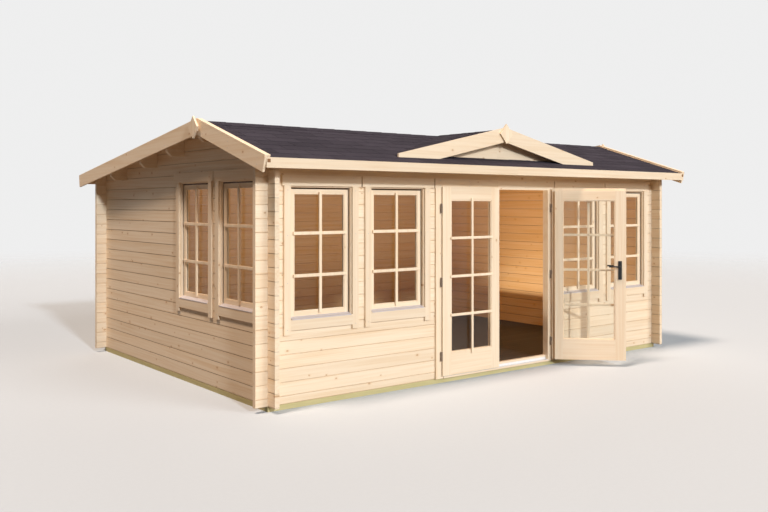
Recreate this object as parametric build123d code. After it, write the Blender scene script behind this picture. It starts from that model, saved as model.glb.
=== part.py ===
from build123d import *
import math
import os

# Log cabin with an uneven pitched roof, a double door and six windows.
# Millimetres. X runs along the front, the front faces -Y, Z is up.
# The origin is on the ground at the middle of the footprint.

# Walls
CABIN_DEPTH = 3765.0            # over the outer faces of the front and back walls
LOG_THICKNESS = 44.0
LOG_PITCH = 114.0               # height of one course
LOG_OVERHANG = 115.0            # log ends past the crossed wall
LOG_CHAMFER = 6.0               # opens the joint between two courses
LOG_GAP = 0.5                   # air left in each course joint
NOTCH_CLEARANCE = 0.5           # sideways play of a corner notch
THINNEST_LOG = 25.0             # a thinner rest is left on the log below
FRONT_FIRST_JOINT = 110.0       # top of the low starter log, front and back
SIDE_FIRST_JOINT = FRONT_FIRST_JOINT + LOG_PITCH / 2

# Base
BEARER_HEIGHT = 44.0
BEARER_WIDTH = 90.0
JOIST_WIDTH = 58.0
JOIST_COUNT = 7
FLOOR_THICKNESS = 19.0
FLOOR_EDGE_GAP = 4.0

# Roof, measured at the underside of its boards
EAVE_UNDERSIDE = 2140.0         # where the boards meet the front wall's outer face
RIDGE_SETBACK = 920.0           # ridge behind the front wall's outer face
FRONT_SLOPE = 17.5              # degrees
BACK_SLOPE = 7.6
FRONT_EAVE_LENGTH = 270.0       # board ends in front of the front wall
BACK_EAVE_LENGTH = 303.0
VERGE = 195.0                   # bargeboard face outside the side walls
DECK_THICKNESS = 19.0
SHINGLE_THICKNESS = 5.0
SEAT_GAP = 0.3                  # play between boards that lie on each other
PURLIN_WIDTH = 44.0
PURLIN_HEIGHT = 160.0
PURLIN_CHAMFER = 45.0
PURLIN_SETBACKS = (1622.0, 2272.0, 3102.0)  # middles, behind the front face
PURLIN_PLAY = 1.0

# Roof edges
BARGEBOARD_DEPTH = 122.0
BARGEBOARD_THICKNESS = 19.0
BARGEBOARD_RISE = 31.0          # top edge above the underside of the boards
BARGEBOARD_LAP = 2.0            # past the fascia's face
COVER_STRIP_WIDTH = 58.0
COVER_STRIP_THICKNESS = 18.0
COVER_STRIP_LIP = 5.0           # past the bargeboard's face
VERGE_BATTEN_WIDTH = 38.0
FASCIA_HEIGHT = 82.0
FASCIA_THICKNESS = 20.0
FASCIA_RISE = 6.0               # above the top of the boards
RIDGE_CAP_WING = 125.0
RIDGE_CAP_THICKNESS = 4.0
FINIAL_HEIGHT = 200.0
FINIAL_WIDTH = 170.0
FINIAL_RISE = 20.0              # its top above the cover strips
FINIAL_PACKING = 20.0           # block between it and the bargeboards
FINIAL_PACKING_WIDTH = 70.0

# Decorative gable on the front slope, its board tips seated on the shingles
DORMER_MIDDLE = 18.0            # beside the middle of the front
DORMER_HALF_SPAN = 1376.0
DORMER_SLOPE = 12.7
DORMER_FACE = 100.0             # board face in front of the front wall
DORMER_BOARD_DEPTH = 143.0
DORMER_BOARD_THICKNESS = 19.0
DORMER_TIP = 33.0               # height of the plumb cut at each end
DORMER_FINIAL_RISE = 34.0       # above the boards' apex
DORMER_DECK_DROP = 22.0         # shingle top below the boards' top edge
DORMER_PANEL_THICKNESS = 18.0
DORMER_RIDGE_CLEARANCE = 30.0   # ridge cap's end beside the decorative gable's roof

# Windows, two on each half of the front and two on the left wall
FRAME_SPAN = 696.0              # over the outside of a window's frame
FRAME_HEIGHT = 1193.0
FRAME_LINING = 42.0             # thickness of the frame's sides and foot
FRAME_HEAD = 21.0
FRAME_PLAY = 3.0                # round a frame in its hole
FRAME_DEPTH = 62.0
COURSES_BELOW_WINDOWS = 5       # full courses over the starter log
CORNER_MARGIN = 147.0           # bare wall between corner and first window
WINDOW_MARGIN = 74.5            # bare wall between the two windows
DOOR_MARGIN = 69.5              # bare wall between second window and door
TRIM_LAP = 35.0                 # trim's outer edge past the frame
TRIM_WIDTH = 66.0
TRIM_THICKNESS = 18.0
TRIM_DROP = 67.0                # below the frame
SILL_BOARD_HEIGHT = 90.0
SILL_BOARD_RISE = 60.0          # its top above the frame's foot
SASH_SETBACK = 28.0             # sash face behind the wall's face
SASH_THICKNESS = 30.0
SASH_GAP = 2.0
SASH_STILE = 42.0
SASH_TOP_RAIL = 47.0
SASH_BOTTOM_RAIL = 72.7
GLASS_THICKNESS = 4.0
GLASS_LAP = 10.0                # glass edge inside its groove
GROOVE_PLAY = 0.4
DRIP_RISE = 20.0
DRIP_THICKNESS = 2.0
DRIP_FOLD = 4.0                 # depth of the turned down edge
DRIP_NOSE = 3.0                 # drip edge past the sill board's face

# Header boards over windows and door
HEADER_HEIGHT = 91.0
HEADER_GAP = 12.0
HEADER_LAP = 10.0               # over the window frame's top
HEADER_CORNER_LAP = 17.0        # past the first window's trim
HEADER_DOOR_LAP = 15.0          # past the door's casing

# Double door
DOOR_FRAME_HALF = 837.0         # over the casing
DOOR_CASING = 92.0              # casing face width
DOOR_JAMB = 62.0                # jamb thickness inside the log opening
DOOR_REVEAL = 50.0              # jamb behind the wall's face
DOOR_CASING_THICKNESS = 18.0
DOOR_HEAD_DROP = 5.0            # underside of the frame's head below the header board
DOOR_HEAD_THICKNESS = 31.0
SILL_THICKNESS = 16.0
SILL_NOSE = 26.0
SILL_STRIP_THICKNESS = 2.0
SILL_STRIP_SETBACK = 4.0        # behind the sill's nose
SILL_STRIP_FLANGE = 24.0        # turned up against the threshold
THRESHOLD_HEIGHT = 62.0         # rail behind the leaves, as thick as the jambs
LEAF_FACE = 36.0                # leaf's outer face in front of the wall
LEAF_LIP = 13.0                 # thickness of the lip that laps the frame
LEAF_THICKNESS = 44.0
LEAF_LIP_LAP = 22.0
LEAF_RUN_GAP = 6.0              # between leaf body and jamb
LEAF_MEET_GAP = 8.0             # between the two leaves
LEAF_RISE = 5.7                 # over the sill's metal strip
LEAF_TOP_LAP = 19.0             # over the frame's head
LEAF_STILE = 110.0
LEAF_TOP_RAIL = 127.0
LEAF_BOTTOM_RAIL = 215.0
LEAF_JOINT_GAP = 0.2            # line between stile and rail
RIGHT_LEAF_OPEN = 135.0         # degrees, as it stands

# Door fittings
HINGE_HEIGHTS = (257.0, 967.0, 1672.0)
HINGE_LENGTH = 86.0
HINGE_RADIUS = 8.0
HINGE_PIN_OUT = 12.0            # pin beside the leaf's lip edge
HINGE_PIN_FORWARD = 12.0        # pin in front of the casing's face
HINGE_GAP = 0.4
HINGE_PLATE = 3.0
PLATE_BELOW_LEVER = 138.0
PLATE_ABOVE_LEVER = 57.0
PLATE_WIDTH = 38.0
PLATE_THICKNESS = 8.0
PLATE_CORNER = 4.0
PLATE_FROM_EDGE = 62.0
LEVER_HEIGHT = 1058.0
LEVER_LENGTH = 118.0
LEVER_REACH = 52.0              # lever's middle in front of the leaf's face
LEVER_RADIUS = 8.0
ROUND_SIDES = 12                # flats round a lever or a hinge knuckle
LEVER_BEND_RADIUS = 16.0        # middle radius where the neck turns into the grip
SPINDLE_SIZE = 8.0
SPINDLE_BORE = 12.0

WINDOW_SPAN = FRAME_SPAN + 2 * TRIM_LAP
HALF_W = CORNER_MARGIN + WINDOW_MARGIN + DOOR_MARGIN + 2 * WINDOW_SPAN + DOOR_FRAME_HALF
HALF_D = CABIN_DEPTH / 2
TAN_FRONT = math.tan(math.radians(FRONT_SLOPE))
TAN_BACK = math.tan(math.radians(BACK_SLOPE))
COS_FRONT = math.cos(math.radians(FRONT_SLOPE))
COS_BACK = math.cos(math.radians(BACK_SLOPE))
RIDGE_Y = RIDGE_SETBACK - HALF_D
RIDGE_Z = EAVE_UNDERSIDE + RIDGE_SETBACK * TAN_FRONT
FRONT_END_Y = -HALF_D - FRONT_EAVE_LENGTH
BACK_END_Y = HALF_D + BACK_EAVE_LENGTH
VERGE_FACE = HALF_W + VERGE
VERGE_INNER = VERGE_FACE - BARGEBOARD_THICKNESS
BEYOND = 600.0                  # how far a cutting shape runs past what it cuts
WINDOW_MIDDLES = (
    CORNER_MARGIN + WINDOW_SPAN / 2,
    CORNER_MARGIN + WINDOW_MARGIN + WINDOW_SPAN * 1.5,
)
FRAME_BOTTOM = FRONT_FIRST_JOINT + COURSES_BELOW_WINDOWS * LOG_PITCH + FRAME_PLAY
FRAME_TOP = FRAME_BOTTOM + FRAME_HEIGHT
SIDE_WINDOW_RISE = LOG_PITCH / 2
TRIM_BOTTOM = FRAME_BOTTOM - TRIM_DROP
SILL_BOARD_TOP = FRAME_BOTTOM + SILL_BOARD_RISE
HEADER_BOTTOM = FRAME_TOP - HEADER_LAP
HEADER_TOP = HEADER_BOTTOM + HEADER_HEIGHT
DOOR_HEAD = HEADER_BOTTOM - DOOR_HEAD_DROP
DOOR_SILL_TOP = BEARER_HEIGHT + SILL_THICKNESS
LEAF_BOTTOM = DOOR_SILL_TOP + SEAT_GAP + SILL_STRIP_THICKNESS + LEAF_RISE
LEAF_TOP = DOOR_HEAD + LEAF_TOP_LAP


def box(x0, x1, y0, y1, z0, z1):
    """A plain block between two corners."""
    middle = ((x0 + x1) / 2, (y0 + y1) / 2, (z0 + z1) / 2)
    return Pos(*middle) * Box(abs(x1 - x0), abs(y1 - y0), abs(z1 - z0))


def bar_x(section, x0, x1):
    """A (y, z) section drawn out along X."""
    face = make_face(Polyline(*section, close=True))
    return extrude(Plane.YZ.offset(x0) * face, x1 - x0)


def bar_y(section, y0, y1):
    """An (x, z) section drawn out along Y."""
    face = make_face(Polyline(*section, close=True))
    plane = Plane(origin=(0, y1, 0), x_dir=(1, 0, 0), z_dir=(0, -1, 0))
    return extrude(plane * face, y1 - y0)


def write(name, solids):
    """Write one sub-part, with its solids side by side."""
    flat = []
    for shape in solids:
        flat.extend(shape.solids())
    export_step(Compound(children=flat), "parts/" + name + ".step")


def roof_underside(y):
    """Height of the roof boards' underside at a depth."""
    if y < RIDGE_Y:
        return RIDGE_Z - (RIDGE_Y - y) * TAN_FRONT
    return RIDGE_Z - (y - RIDGE_Y) * TAN_BACK


def front_line(y, rise):
    """Height on the front slope, rise measured square to the boards."""
    return RIDGE_Z - (RIDGE_Y - y) * TAN_FRONT + rise / COS_FRONT


def back_line(y, rise):
    """Height on the back slope, rise measured square to the boards."""
    return RIDGE_Z - (y - RIDGE_Y) * TAN_BACK + rise / COS_BACK


def under_roof():
    """The space that wall logs may fill."""
    low = -BEYOND
    front = FRONT_END_Y - BEYOND
    back = BACK_END_Y + BEYOND
    drop = -SEAT_GAP
    section = [
        (front, low),
        (back, low),
        (back, back_line(back, drop)),
        (RIDGE_Y, RIDGE_Z + drop),
        (front, front_line(front, drop)),
    ]
    return bar_x(section, -VERGE_FACE - BEYOND, VERGE_FACE + BEYOND)


ROOF_SPACE = under_roof()


def courses(first_joint, limit):
    """Bottoms and tops of a wall's courses, from the bearer up to a limit."""
    rows = [(BEARER_HEIGHT, first_joint)]
    while rows[-1][1] < limit - THINNEST_LOG:
        rows.append((rows[-1][1], rows[-1][1] + LOG_PITCH))
    if rows[-1][1] < limit:
        rows[-1] = (rows[-1][0], limit)
    return rows


def log_section(inner, outer, z0, z1):
    """Section of a log, its lower edges chamfered on both faces."""
    c = LOG_CHAMFER
    inward = math.copysign(c, inner - outer)
    top = z1 - LOG_GAP
    return [
        (inner - inward, z0), (outer + inward, z0), (outer, z0 + c),
        (outer, top), (inner, top), (inner, z0 + c),
    ]


def notch_rows(z0, z1, other_rows):
    """What a crossing wall's logs take out of a log, as height ranges."""
    taken = []
    for low, high in other_rows:
        if low < z0 < high:
            taken.append((z0 - 1, (z0 + high) / 2 + LOG_GAP / 2))
        if low < z1 < high:
            taken.append(((low + z1) / 2 - LOG_GAP / 2, z1 + 1))
    return taken


FRONT_ROWS = courses(FRONT_FIRST_JOINT, roof_underside(-HALF_D + LOG_THICKNESS))
BACK_ROWS = courses(FRONT_FIRST_JOINT, roof_underside(HALF_D - LOG_THICKNESS))
SIDE_ROWS = courses(SIDE_FIRST_JOINT, RIDGE_Z)
SIDE_TOP = max(high for low, high in SIDE_ROWS if high <= roof_underside(HALF_D))


def starter_notch(z0, z1, first_joint):
    """The side walls' starter log sits down over the front's lower starter."""
    if z0 > BEARER_HEIGHT or z1 <= first_joint:
        return []
    return [(z0 - 1, (first_joint + BEARER_HEIGHT) / 2 + LOG_GAP / 2)]


def clear_span(pieces, hole_start, hole_end):
    """Cut one hole out of a list of spans."""
    left = []
    for a, b in pieces:
        if hole_end <= a or hole_start >= b:
            left.append((a, b))
            continue
        if hole_start > a:
            left.append((a, hole_start))
        if hole_end < b:
            left.append((hole_end, b))
    return left


def wall_pieces(rows, start, end, holes):
    """Log pieces of a wall as (start, end, bottom, top), cut round its holes."""
    pieces = []
    for z0, z1 in rows:
        spans = [(start, end)]
        for a, b, low, high in holes:
            if low < z1 - 1 and high > z0 + 1:
                spans = clear_span(spans, a, b)
                if high < z1 - 1:
                    pieces.append((a + LOG_GAP, b - LOG_GAP, high, z1))
        for a, b in spans:
            pieces.append((a, b, z0, z1))
    return pieces


def two_faces(start, outside):
    """Inner and outer face of a wall that starts at a place, outside -1 or 1."""
    end = start + LOG_THICKNESS
    return (end, start) if outside < 0 else (start, end)


def along_x(piece, y0, outside, cross_xs, other_rows):
    """A log that runs along X, notched where side walls cross it."""
    a, b, z0, z1 = piece
    inner, outer = two_faces(y0, outside)
    log = bar_x(log_section(inner, outer, z0, z1), a, b)
    for x in cross_xs:
        if a < x < b:
            for low, high in notch_rows(z0, z1, other_rows):
                log -= box(x - NOTCH_CLEARANCE, x + LOG_THICKNESS + NOTCH_CLEARANCE,
                           y0 - 1, y0 + LOG_THICKNESS + 1, low, high)
    if z1 > EAVE_UNDERSIDE - LOG_PITCH * 2:
        log &= ROOF_SPACE
    return log


def along_y(piece, x0, outside, crossings):
    """A log that runs along Y, notched where the front and back walls cross it."""
    a, b, z0, z1 = piece
    inner, outer = two_faces(x0, outside)
    log = bar_y(log_section(inner, outer, z0, z1), a, b)
    for y, rows in crossings:
        if a < y < b:
            taken = notch_rows(z0, z1, rows) + starter_notch(z0, z1, FRONT_FIRST_JOINT)
            for low, high in taken:
                log -= box(x0 - 1, x0 + LOG_THICKNESS + 1,
                           y - NOTCH_CLEARANCE, y + LOG_THICKNESS + NOTCH_CLEARANCE, low, high)
    if z1 > EAVE_UNDERSIDE - LOG_PITCH * 2:
        log &= ROOF_SPACE
    return log


def window_holes(rise):
    """Holes of one wall's two windows: start, end, bottom and top."""
    half = FRAME_SPAN / 2 + FRAME_PLAY
    return [(m - half, m + half, FRAME_BOTTOM - FRAME_PLAY + rise, FRAME_TOP + FRAME_PLAY + rise)
            for m in WINDOW_MIDDLES]


LEFT_X = -HALF_W
RIGHT_X = HALF_W - LOG_THICKNESS
FRONT_Y = -HALF_D
BACK_Y = HALF_D - LOG_THICKNESS
DOOR_HOLE_HALF = DOOR_FRAME_HALF - DOOR_CASING + DOOR_JAMB + FRAME_PLAY
DOOR_HOLE_TOP = DOOR_HEAD + DOOR_HEAD_THICKNESS + FRAME_PLAY


def front_holes():
    """Holes of the front wall in world X."""
    holes = []
    for a, b, low, high in window_holes(0):
        holes.append((-HALF_W + a, -HALF_W + b, low, high))
        holes.append((HALF_W - b, HALF_W - a, low, high))
    holes.append((-DOOR_HOLE_HALF, DOOR_HOLE_HALF, 0, DOOR_HOLE_TOP))
    return holes


def build_front_wall():
    ends = HALF_W + LOG_OVERHANG
    left, right, top = [], [], []
    for piece in wall_pieces(FRONT_ROWS, -ends, ends, front_holes()):
        log = along_x(piece, FRONT_Y, -1, (LEFT_X, RIGHT_X), SIDE_ROWS)
        middle = (piece[0] + piece[1]) / 2
        if piece[0] < 0 < piece[1] or piece[3] > FRAME_TOP:
            top.append(log)
        elif middle < 0:
            left.append(log)
        else:
            right.append(log)
    write("front_wall_left", left)
    write("front_wall_right", right)
    write("front_wall_top", top)


def build_back_wall():
    ends = HALF_W + LOG_OVERHANG
    write("back_wall", [along_x((-ends, ends, z0, z1), BACK_Y, 1, (LEFT_X, RIGHT_X), SIDE_ROWS)
                        for z0, z1 in BACK_ROWS])


def purlin_tops():
    """Middle depth of each purlin with the height of its top."""
    rows = [(RIDGE_Y, RIDGE_Z)]
    for setback in PURLIN_SETBACKS:
        y = setback - HALF_D
        rows.append((y, roof_underside(y + PURLIN_WIDTH / 2)))
    return rows


def purlin_seats():
    """What the purlins take out of the gables."""
    half = PURLIN_WIDTH / 2 + PURLIN_PLAY
    seats = []
    for y, top in purlin_tops():
        low = top - PURLIN_HEIGHT - SEAT_GAP
        seats.append(box(-VERGE_FACE, VERGE_FACE, y - half, y + half, low, RIDGE_Z + BEYOND))
    return seats


def build_side_wall(name, x0, outside, holes):
    """Lower logs are the wall, logs above the eaves its gable."""
    ends = HALF_D + LOG_OVERHANG
    crossings = ((FRONT_Y, FRONT_ROWS), (BACK_Y, BACK_ROWS))
    seats = purlin_seats()
    wall, gable = [], []
    for piece in wall_pieces(SIDE_ROWS, -ends, ends, holes):
        log = along_y(piece, x0, outside, crossings)
        if piece[3] > EAVE_UNDERSIDE - 2 * LOG_PITCH:
            for seat in seats:
                log -= seat
        target = wall if piece[3] <= SIDE_TOP else gable
        target.extend(log.solids())
    write(name + "_wall", wall)
    write(name + "_gable", gable)


def build_side_walls():
    holes = [(-HALF_D + a, -HALF_D + b, low, high)
             for a, b, low, high in window_holes(SIDE_WINDOW_RISE)]
    build_side_wall("left", LEFT_X, -1, holes)
    build_side_wall("right", RIGHT_X, 1, [])


def build_base():
    """Treated bearers on the ground, and the floor boards on them."""
    inner = HALF_W - BEARER_WIDTH
    joint = LEAF_JOINT_GAP
    bearers = []
    for side in (-1, 1):
        bearers.append(box(-HALF_W, HALF_W, side * HALF_D, side * (HALF_D - BEARER_WIDTH),
                           0, BEARER_HEIGHT - SEAT_GAP))
        bearers.append(box(side * HALF_W, side * inner, -HALF_D + BEARER_WIDTH + joint,
                           HALF_D - BEARER_WIDTH - joint, 0, BEARER_HEIGHT - SEAT_GAP))
    step = 2 * inner / (JOIST_COUNT + 1)
    for i in range(JOIST_COUNT):
        x = -inner + (i + 1) * step
        bearers.append(box(x - JOIST_WIDTH / 2, x + JOIST_WIDTH / 2,
                           -HALF_D + BEARER_WIDTH + joint, HALF_D - BEARER_WIDTH - joint,
                           0, BEARER_HEIGHT - SEAT_GAP))
    write("bearers", bearers)
    x = HALF_W - LOG_THICKNESS - FLOOR_EDGE_GAP
    y0 = -HALF_D + DOOR_REVEAL + FLOOR_EDGE_GAP
    y1 = HALF_D - LOG_THICKNESS - FLOOR_EDGE_GAP
    write("floor_boards", [box(-x, x, y0, y1, BEARER_HEIGHT, BEARER_HEIGHT + FLOOR_THICKNESS)])


def slope_slab(side, rise0, rise1, end_y, x0, x1, ridge_gap=0.0):
    """A layer of one roof slope between two rises, from the ridge to end_y."""
    line = front_line if side < 0 else back_line
    top_y = RIDGE_Y + side * ridge_gap
    section = [
        (top_y, line(top_y, rise0)),
        (top_y, line(top_y, rise1)),
        (end_y, line(end_y, rise1)),
        (end_y, line(end_y, rise0)),
    ]
    return bar_x(section, x0, x1)


SLOPES = (("front", -1, FRONT_END_Y), ("back", 1, BACK_END_Y))


def build_roof_layers():
    shingle_low = DECK_THICKNESS + SEAT_GAP
    shingle_high = DECK_THICKNESS + SHINGLE_THICKNESS
    shingle_x = VERGE_INNER - VERGE_BATTEN_WIDTH - SEAT_GAP
    for name, side, end_y in SLOPES:
        deck_x = VERGE_INNER - SEAT_GAP
        write("roof_boards_" + name,
              [slope_slab(side, 0, DECK_THICKNESS, end_y, -deck_x, deck_x, SEAT_GAP / 2)])
        write("shingles_" + name,
              [slope_slab(side, shingle_low, shingle_high, end_y, -shingle_x, shingle_x,
                          SEAT_GAP / 2)])
    cap_low = shingle_high + SEAT_GAP
    cap_high = cap_low + RIDGE_CAP_THICKNESS
    gap = dormer_ridge_half()
    front_end = RIDGE_Y - RIDGE_CAP_WING * COS_FRONT
    back_end = RIDGE_Y + RIDGE_CAP_WING * COS_BACK
    write("ridge_cap", [
        slope_slab(-1, cap_low, cap_high, front_end, -shingle_x, DORMER_MIDDLE - gap,
                   SEAT_GAP / 2),
        slope_slab(-1, cap_low, cap_high, front_end, DORMER_MIDDLE + gap, shingle_x,
                   SEAT_GAP / 2),
        slope_slab(1, cap_low, cap_high, back_end, -shingle_x, shingle_x, SEAT_GAP / 2),
    ])


def build_purlins():
    """Beams that carry the roof boards, with their lower ends cut back."""
    end = VERGE_INNER - SEAT_GAP
    cut = PURLIN_CHAMFER
    purlins = []
    for y, top in purlin_tops():
        low = top - PURLIN_HEIGHT
        section = [(-end, top + BEYOND), (end, top + BEYOND), (end, low + cut), (end - cut, low),
                   (-end + cut, low), (-end, low + cut)]
        beam = bar_y(section, y - PURLIN_WIDTH / 2, y + PURLIN_WIDTH / 2)
        purlins.append(beam & ROOF_SPACE)
    write("purlins", purlins)


def sloped_board(side, rise0, rise1, past, x0, x1):
    """A verge board from the ridge down, its low end cut square to the slope."""
    angle = math.radians(FRONT_SLOPE if side < 0 else BACK_SLOPE)
    line = front_line if side < 0 else back_line
    end_y = (FRONT_END_Y - FASCIA_THICKNESS) if side < 0 else (BACK_END_Y + FASCIA_THICKNESS)
    tip_y = end_y + side * past
    top_y = RIDGE_Y + side * SEAT_GAP / 2
    foot_y = tip_y - side * (rise1 - rise0) * math.sin(angle)
    section = [
        (top_y, line(top_y, rise0)),
        (top_y, line(top_y, rise1)),
        (tip_y, line(tip_y, rise1)),
        (foot_y, line(foot_y, rise0)),
    ]
    return bar_x(section, x0, x1)


def build_verges():
    low = BARGEBOARD_RISE - BARGEBOARD_DEPTH
    strip_low = BARGEBOARD_RISE + SEAT_GAP
    strip_high = strip_low + COVER_STRIP_THICKNESS
    strips, battens, finials = [], [], []
    for name, hand in (("left", -1), ("right", 1)):
        boards = []
        for side in (-1, 1):
            boards.append(sloped_board(side, low, BARGEBOARD_RISE, BARGEBOARD_LAP,
                                       *sorted((hand * VERGE_INNER, hand * VERGE_FACE))))
            outer = VERGE_FACE + COVER_STRIP_LIP
            inner = outer - COVER_STRIP_WIDTH
            strips.append(sloped_board(side, strip_low, strip_high, BARGEBOARD_LAP,
                                       *sorted((hand * inner, hand * outer))))
            batten_outer = VERGE_INNER - SEAT_GAP
            batten_inner = VERGE_INNER - VERGE_BATTEN_WIDTH
            battens.append(sloped_board(side, DECK_THICKNESS + SEAT_GAP, BARGEBOARD_RISE,
                                        -FASCIA_THICKNESS,
                                        *sorted((hand * batten_inner, hand * batten_outer))))
        write(name + "_bargeboards", boards)
        top = RIDGE_Z + BARGEBOARD_RISE + COVER_STRIP_THICKNESS + FINIAL_RISE
        middle = top - FINIAL_HEIGHT / 2
        face = VERGE_FACE + SEAT_GAP
        packed = face + FINIAL_PACKING
        half = FINIAL_PACKING_WIDTH / 2
        packing = box(hand * face, hand * packed, RIDGE_Y - half, RIDGE_Y + half,
                      middle - half, middle + half)
        x0, x1 = sorted((hand * packed, hand * (packed + BARGEBOARD_THICKNESS)))
        diamond = [
            (RIDGE_Y, middle + FINIAL_HEIGHT / 2),
            (RIDGE_Y + FINIAL_WIDTH / 2, middle),
            (RIDGE_Y, middle - FINIAL_HEIGHT / 2),
            (RIDGE_Y - FINIAL_WIDTH / 2, middle),
        ]
        finials.append(bar_x(diamond, x0, x1) + packing)
    write("verge_cover_strips", strips)
    write("verge_battens", battens)
    write("gable_finials", finials)


def build_fascias():
    x = VERGE_INNER - SEAT_GAP
    fascias = []
    for side, end_y, line in ((-1, FRONT_END_Y, front_line), (1, BACK_END_Y, back_line)):
        near = end_y + side * SEAT_GAP
        far = near + side * FASCIA_THICKNESS
        top = line(end_y, DECK_THICKNESS) + FASCIA_RISE
        y0, y1 = sorted((near, far))
        fascias.append(box(-x, x, y0, y1, top - FASCIA_HEIGHT, top))
    write("eave_fascias", fascias)


DORMER_TAN = math.tan(math.radians(DORMER_SLOPE))
DORMER_COS = math.cos(math.radians(DORMER_SLOPE))
DORMER_FRONT_Y = -HALF_D - DORMER_FACE
DORMER_BACK_Y = DORMER_FRONT_Y + DORMER_BOARD_THICKNESS
DORMER_TIP_LOW = front_line(DORMER_BACK_Y, DECK_THICKNESS + SHINGLE_THICKNESS) + SEAT_GAP
DORMER_TIP_TOP = DORMER_TIP_LOW + DORMER_TIP
DORMER_APEX = DORMER_TIP_TOP + DORMER_HALF_SPAN * DORMER_TAN
DORMER_TOP = DORMER_APEX - DORMER_DECK_DROP


def dormer_ridge_half():
    """Half of the stretch of main ridge that the decorative gable's roof reaches."""
    line = front_line(RIDGE_Y - RIDGE_CAP_WING, DECK_THICKNESS + SHINGLE_THICKNESS)
    return (DORMER_TOP - line) / DORMER_TAN + DORMER_RIDGE_CLEARANCE


def above_front_slope():
    """The space over the front shingles."""
    rise = DECK_THICKNESS + SHINGLE_THICKNESS + SEAT_GAP
    front = FRONT_END_Y - BEYOND
    section = [
        (front, front_line(front, rise)),
        (RIDGE_Y, front_line(RIDGE_Y, rise)),
        (RIDGE_Y, RIDGE_Z + BEYOND),
        (front, RIDGE_Z + BEYOND),
    ]
    return bar_x(section, -HALF_W, HALF_W)


def dormer_layer(hand, top, thickness, y0, y1):
    """One half of an inverted V layer, its top at a height over the middle."""
    drop = DORMER_HALF_SPAN * DORMER_TAN
    thick = thickness / DORMER_COS
    inner = DORMER_MIDDLE + hand * SEAT_GAP / 2
    far = DORMER_MIDDLE + hand * DORMER_HALF_SPAN
    section = [(inner, top), (far, top - drop), (far, top - drop - thick), (inner, top - thick)]
    return bar_y(section, y0, y1)


def build_dormer():
    space = above_front_slope()
    deck_top = DORMER_TOP - SHINGLE_THICKNESS / DORMER_COS - SEAT_GAP
    start = DORMER_BACK_Y + SEAT_GAP
    boards, deck, shingles = [], [], []
    depth = DORMER_BOARD_DEPTH / DORMER_COS
    drop = DORMER_HALF_SPAN * DORMER_TAN
    for hand in (-1, 1):
        deck.append(dormer_layer(hand, deck_top, DECK_THICKNESS, start, RIDGE_Y) & space)
        shingles.append(dormer_layer(hand, DORMER_TOP, SHINGLE_THICKNESS, start, RIDGE_Y) & space)
        middle = DORMER_MIDDLE + hand * SEAT_GAP / 2
        tip = DORMER_MIDDLE + hand * DORMER_HALF_SPAN
        section = [
            (middle, DORMER_APEX),
            (tip, DORMER_TIP_TOP),
            (tip, DORMER_TIP_TOP - depth),
            (middle, DORMER_APEX - depth),
        ]
        boards.append(bar_y(section, DORMER_FRONT_Y, DORMER_BACK_Y) & space)
    write("dormer_bargeboards", boards)
    write("dormer_boards", deck)
    write("dormer_shingles", shingles)
    under = deck_top - DECK_THICKNESS / DORMER_COS - SEAT_GAP
    middle = DORMER_MIDDLE
    triangle = [(middle - DORMER_HALF_SPAN, under - drop), (middle, under),
                (middle + DORMER_HALF_SPAN, under - drop)]
    panel = bar_y(triangle, FRONT_Y, FRONT_Y + DORMER_PANEL_THICKNESS)
    write("dormer_panel", [panel & space])
    low = DORMER_APEX + DORMER_FINIAL_RISE - FINIAL_HEIGHT
    half = FINIAL_WIDTH / 2
    diamond = [
        (middle, low + FINIAL_HEIGHT), (middle + half, low + FINIAL_HEIGHT / 2),
        (middle, low), (middle - half, low + FINIAL_HEIGHT / 2),
    ]
    face = DORMER_FRONT_Y - SEAT_GAP
    write("dormer_finial", [bar_y(diamond, face - BARGEBOARD_THICKNESS, face)])


def on_front(s0, s1, d0, d1, z0, z1):
    """A block on the front wall: along from the left corner, depth outward."""
    return box(-HALF_W + s0, -HALF_W + s1, -HALF_D - d0, -HALF_D - d1, z0, z1)


def on_front_mirrored(s0, s1, d0, d1, z0, z1):
    """The same block on the right half of the front wall."""
    return box(HALF_W - s0, HALF_W - s1, -HALF_D - d0, -HALF_D - d1, z0, z1)


def on_left(s0, s1, d0, d1, z0, z1):
    """A block on the left wall: along from the front corner, depth outward."""
    rise = SIDE_WINDOW_RISE
    return box(-HALF_W - d0, -HALF_W - d1, -HALF_D + s0, -HALF_D + s1, z0 + rise, z1 + rise)


WALL_SIDES = (on_front, on_front_mirrored, on_left)


def window_frame(place, m):
    """Frame lining of one window: two sides, head and foot."""
    a, b = m - FRAME_SPAN / 2, m + FRAME_SPAN / 2
    back = -FRAME_DEPTH
    joint = LEAF_JOINT_GAP
    low = FRAME_BOTTOM + FRAME_LINING + joint
    high = FRAME_TOP - FRAME_HEAD - joint
    return [
        place(a, a + FRAME_LINING, 0, back, low, high),
        place(b - FRAME_LINING, b, 0, back, low, high),
        place(a, b, 0, back, FRAME_BOTTOM, FRAME_BOTTOM + FRAME_LINING),
        place(a, b, 0, back, FRAME_TOP - FRAME_HEAD, FRAME_TOP),
    ]


def sash_size():
    """Half width, bottom and top of a sash."""
    half = FRAME_SPAN / 2 - FRAME_LINING - SASH_GAP
    bottom = FRAME_BOTTOM + FRAME_LINING + SEAT_GAP
    top = FRAME_TOP - FRAME_HEAD - SASH_GAP
    return half, bottom, top


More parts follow.
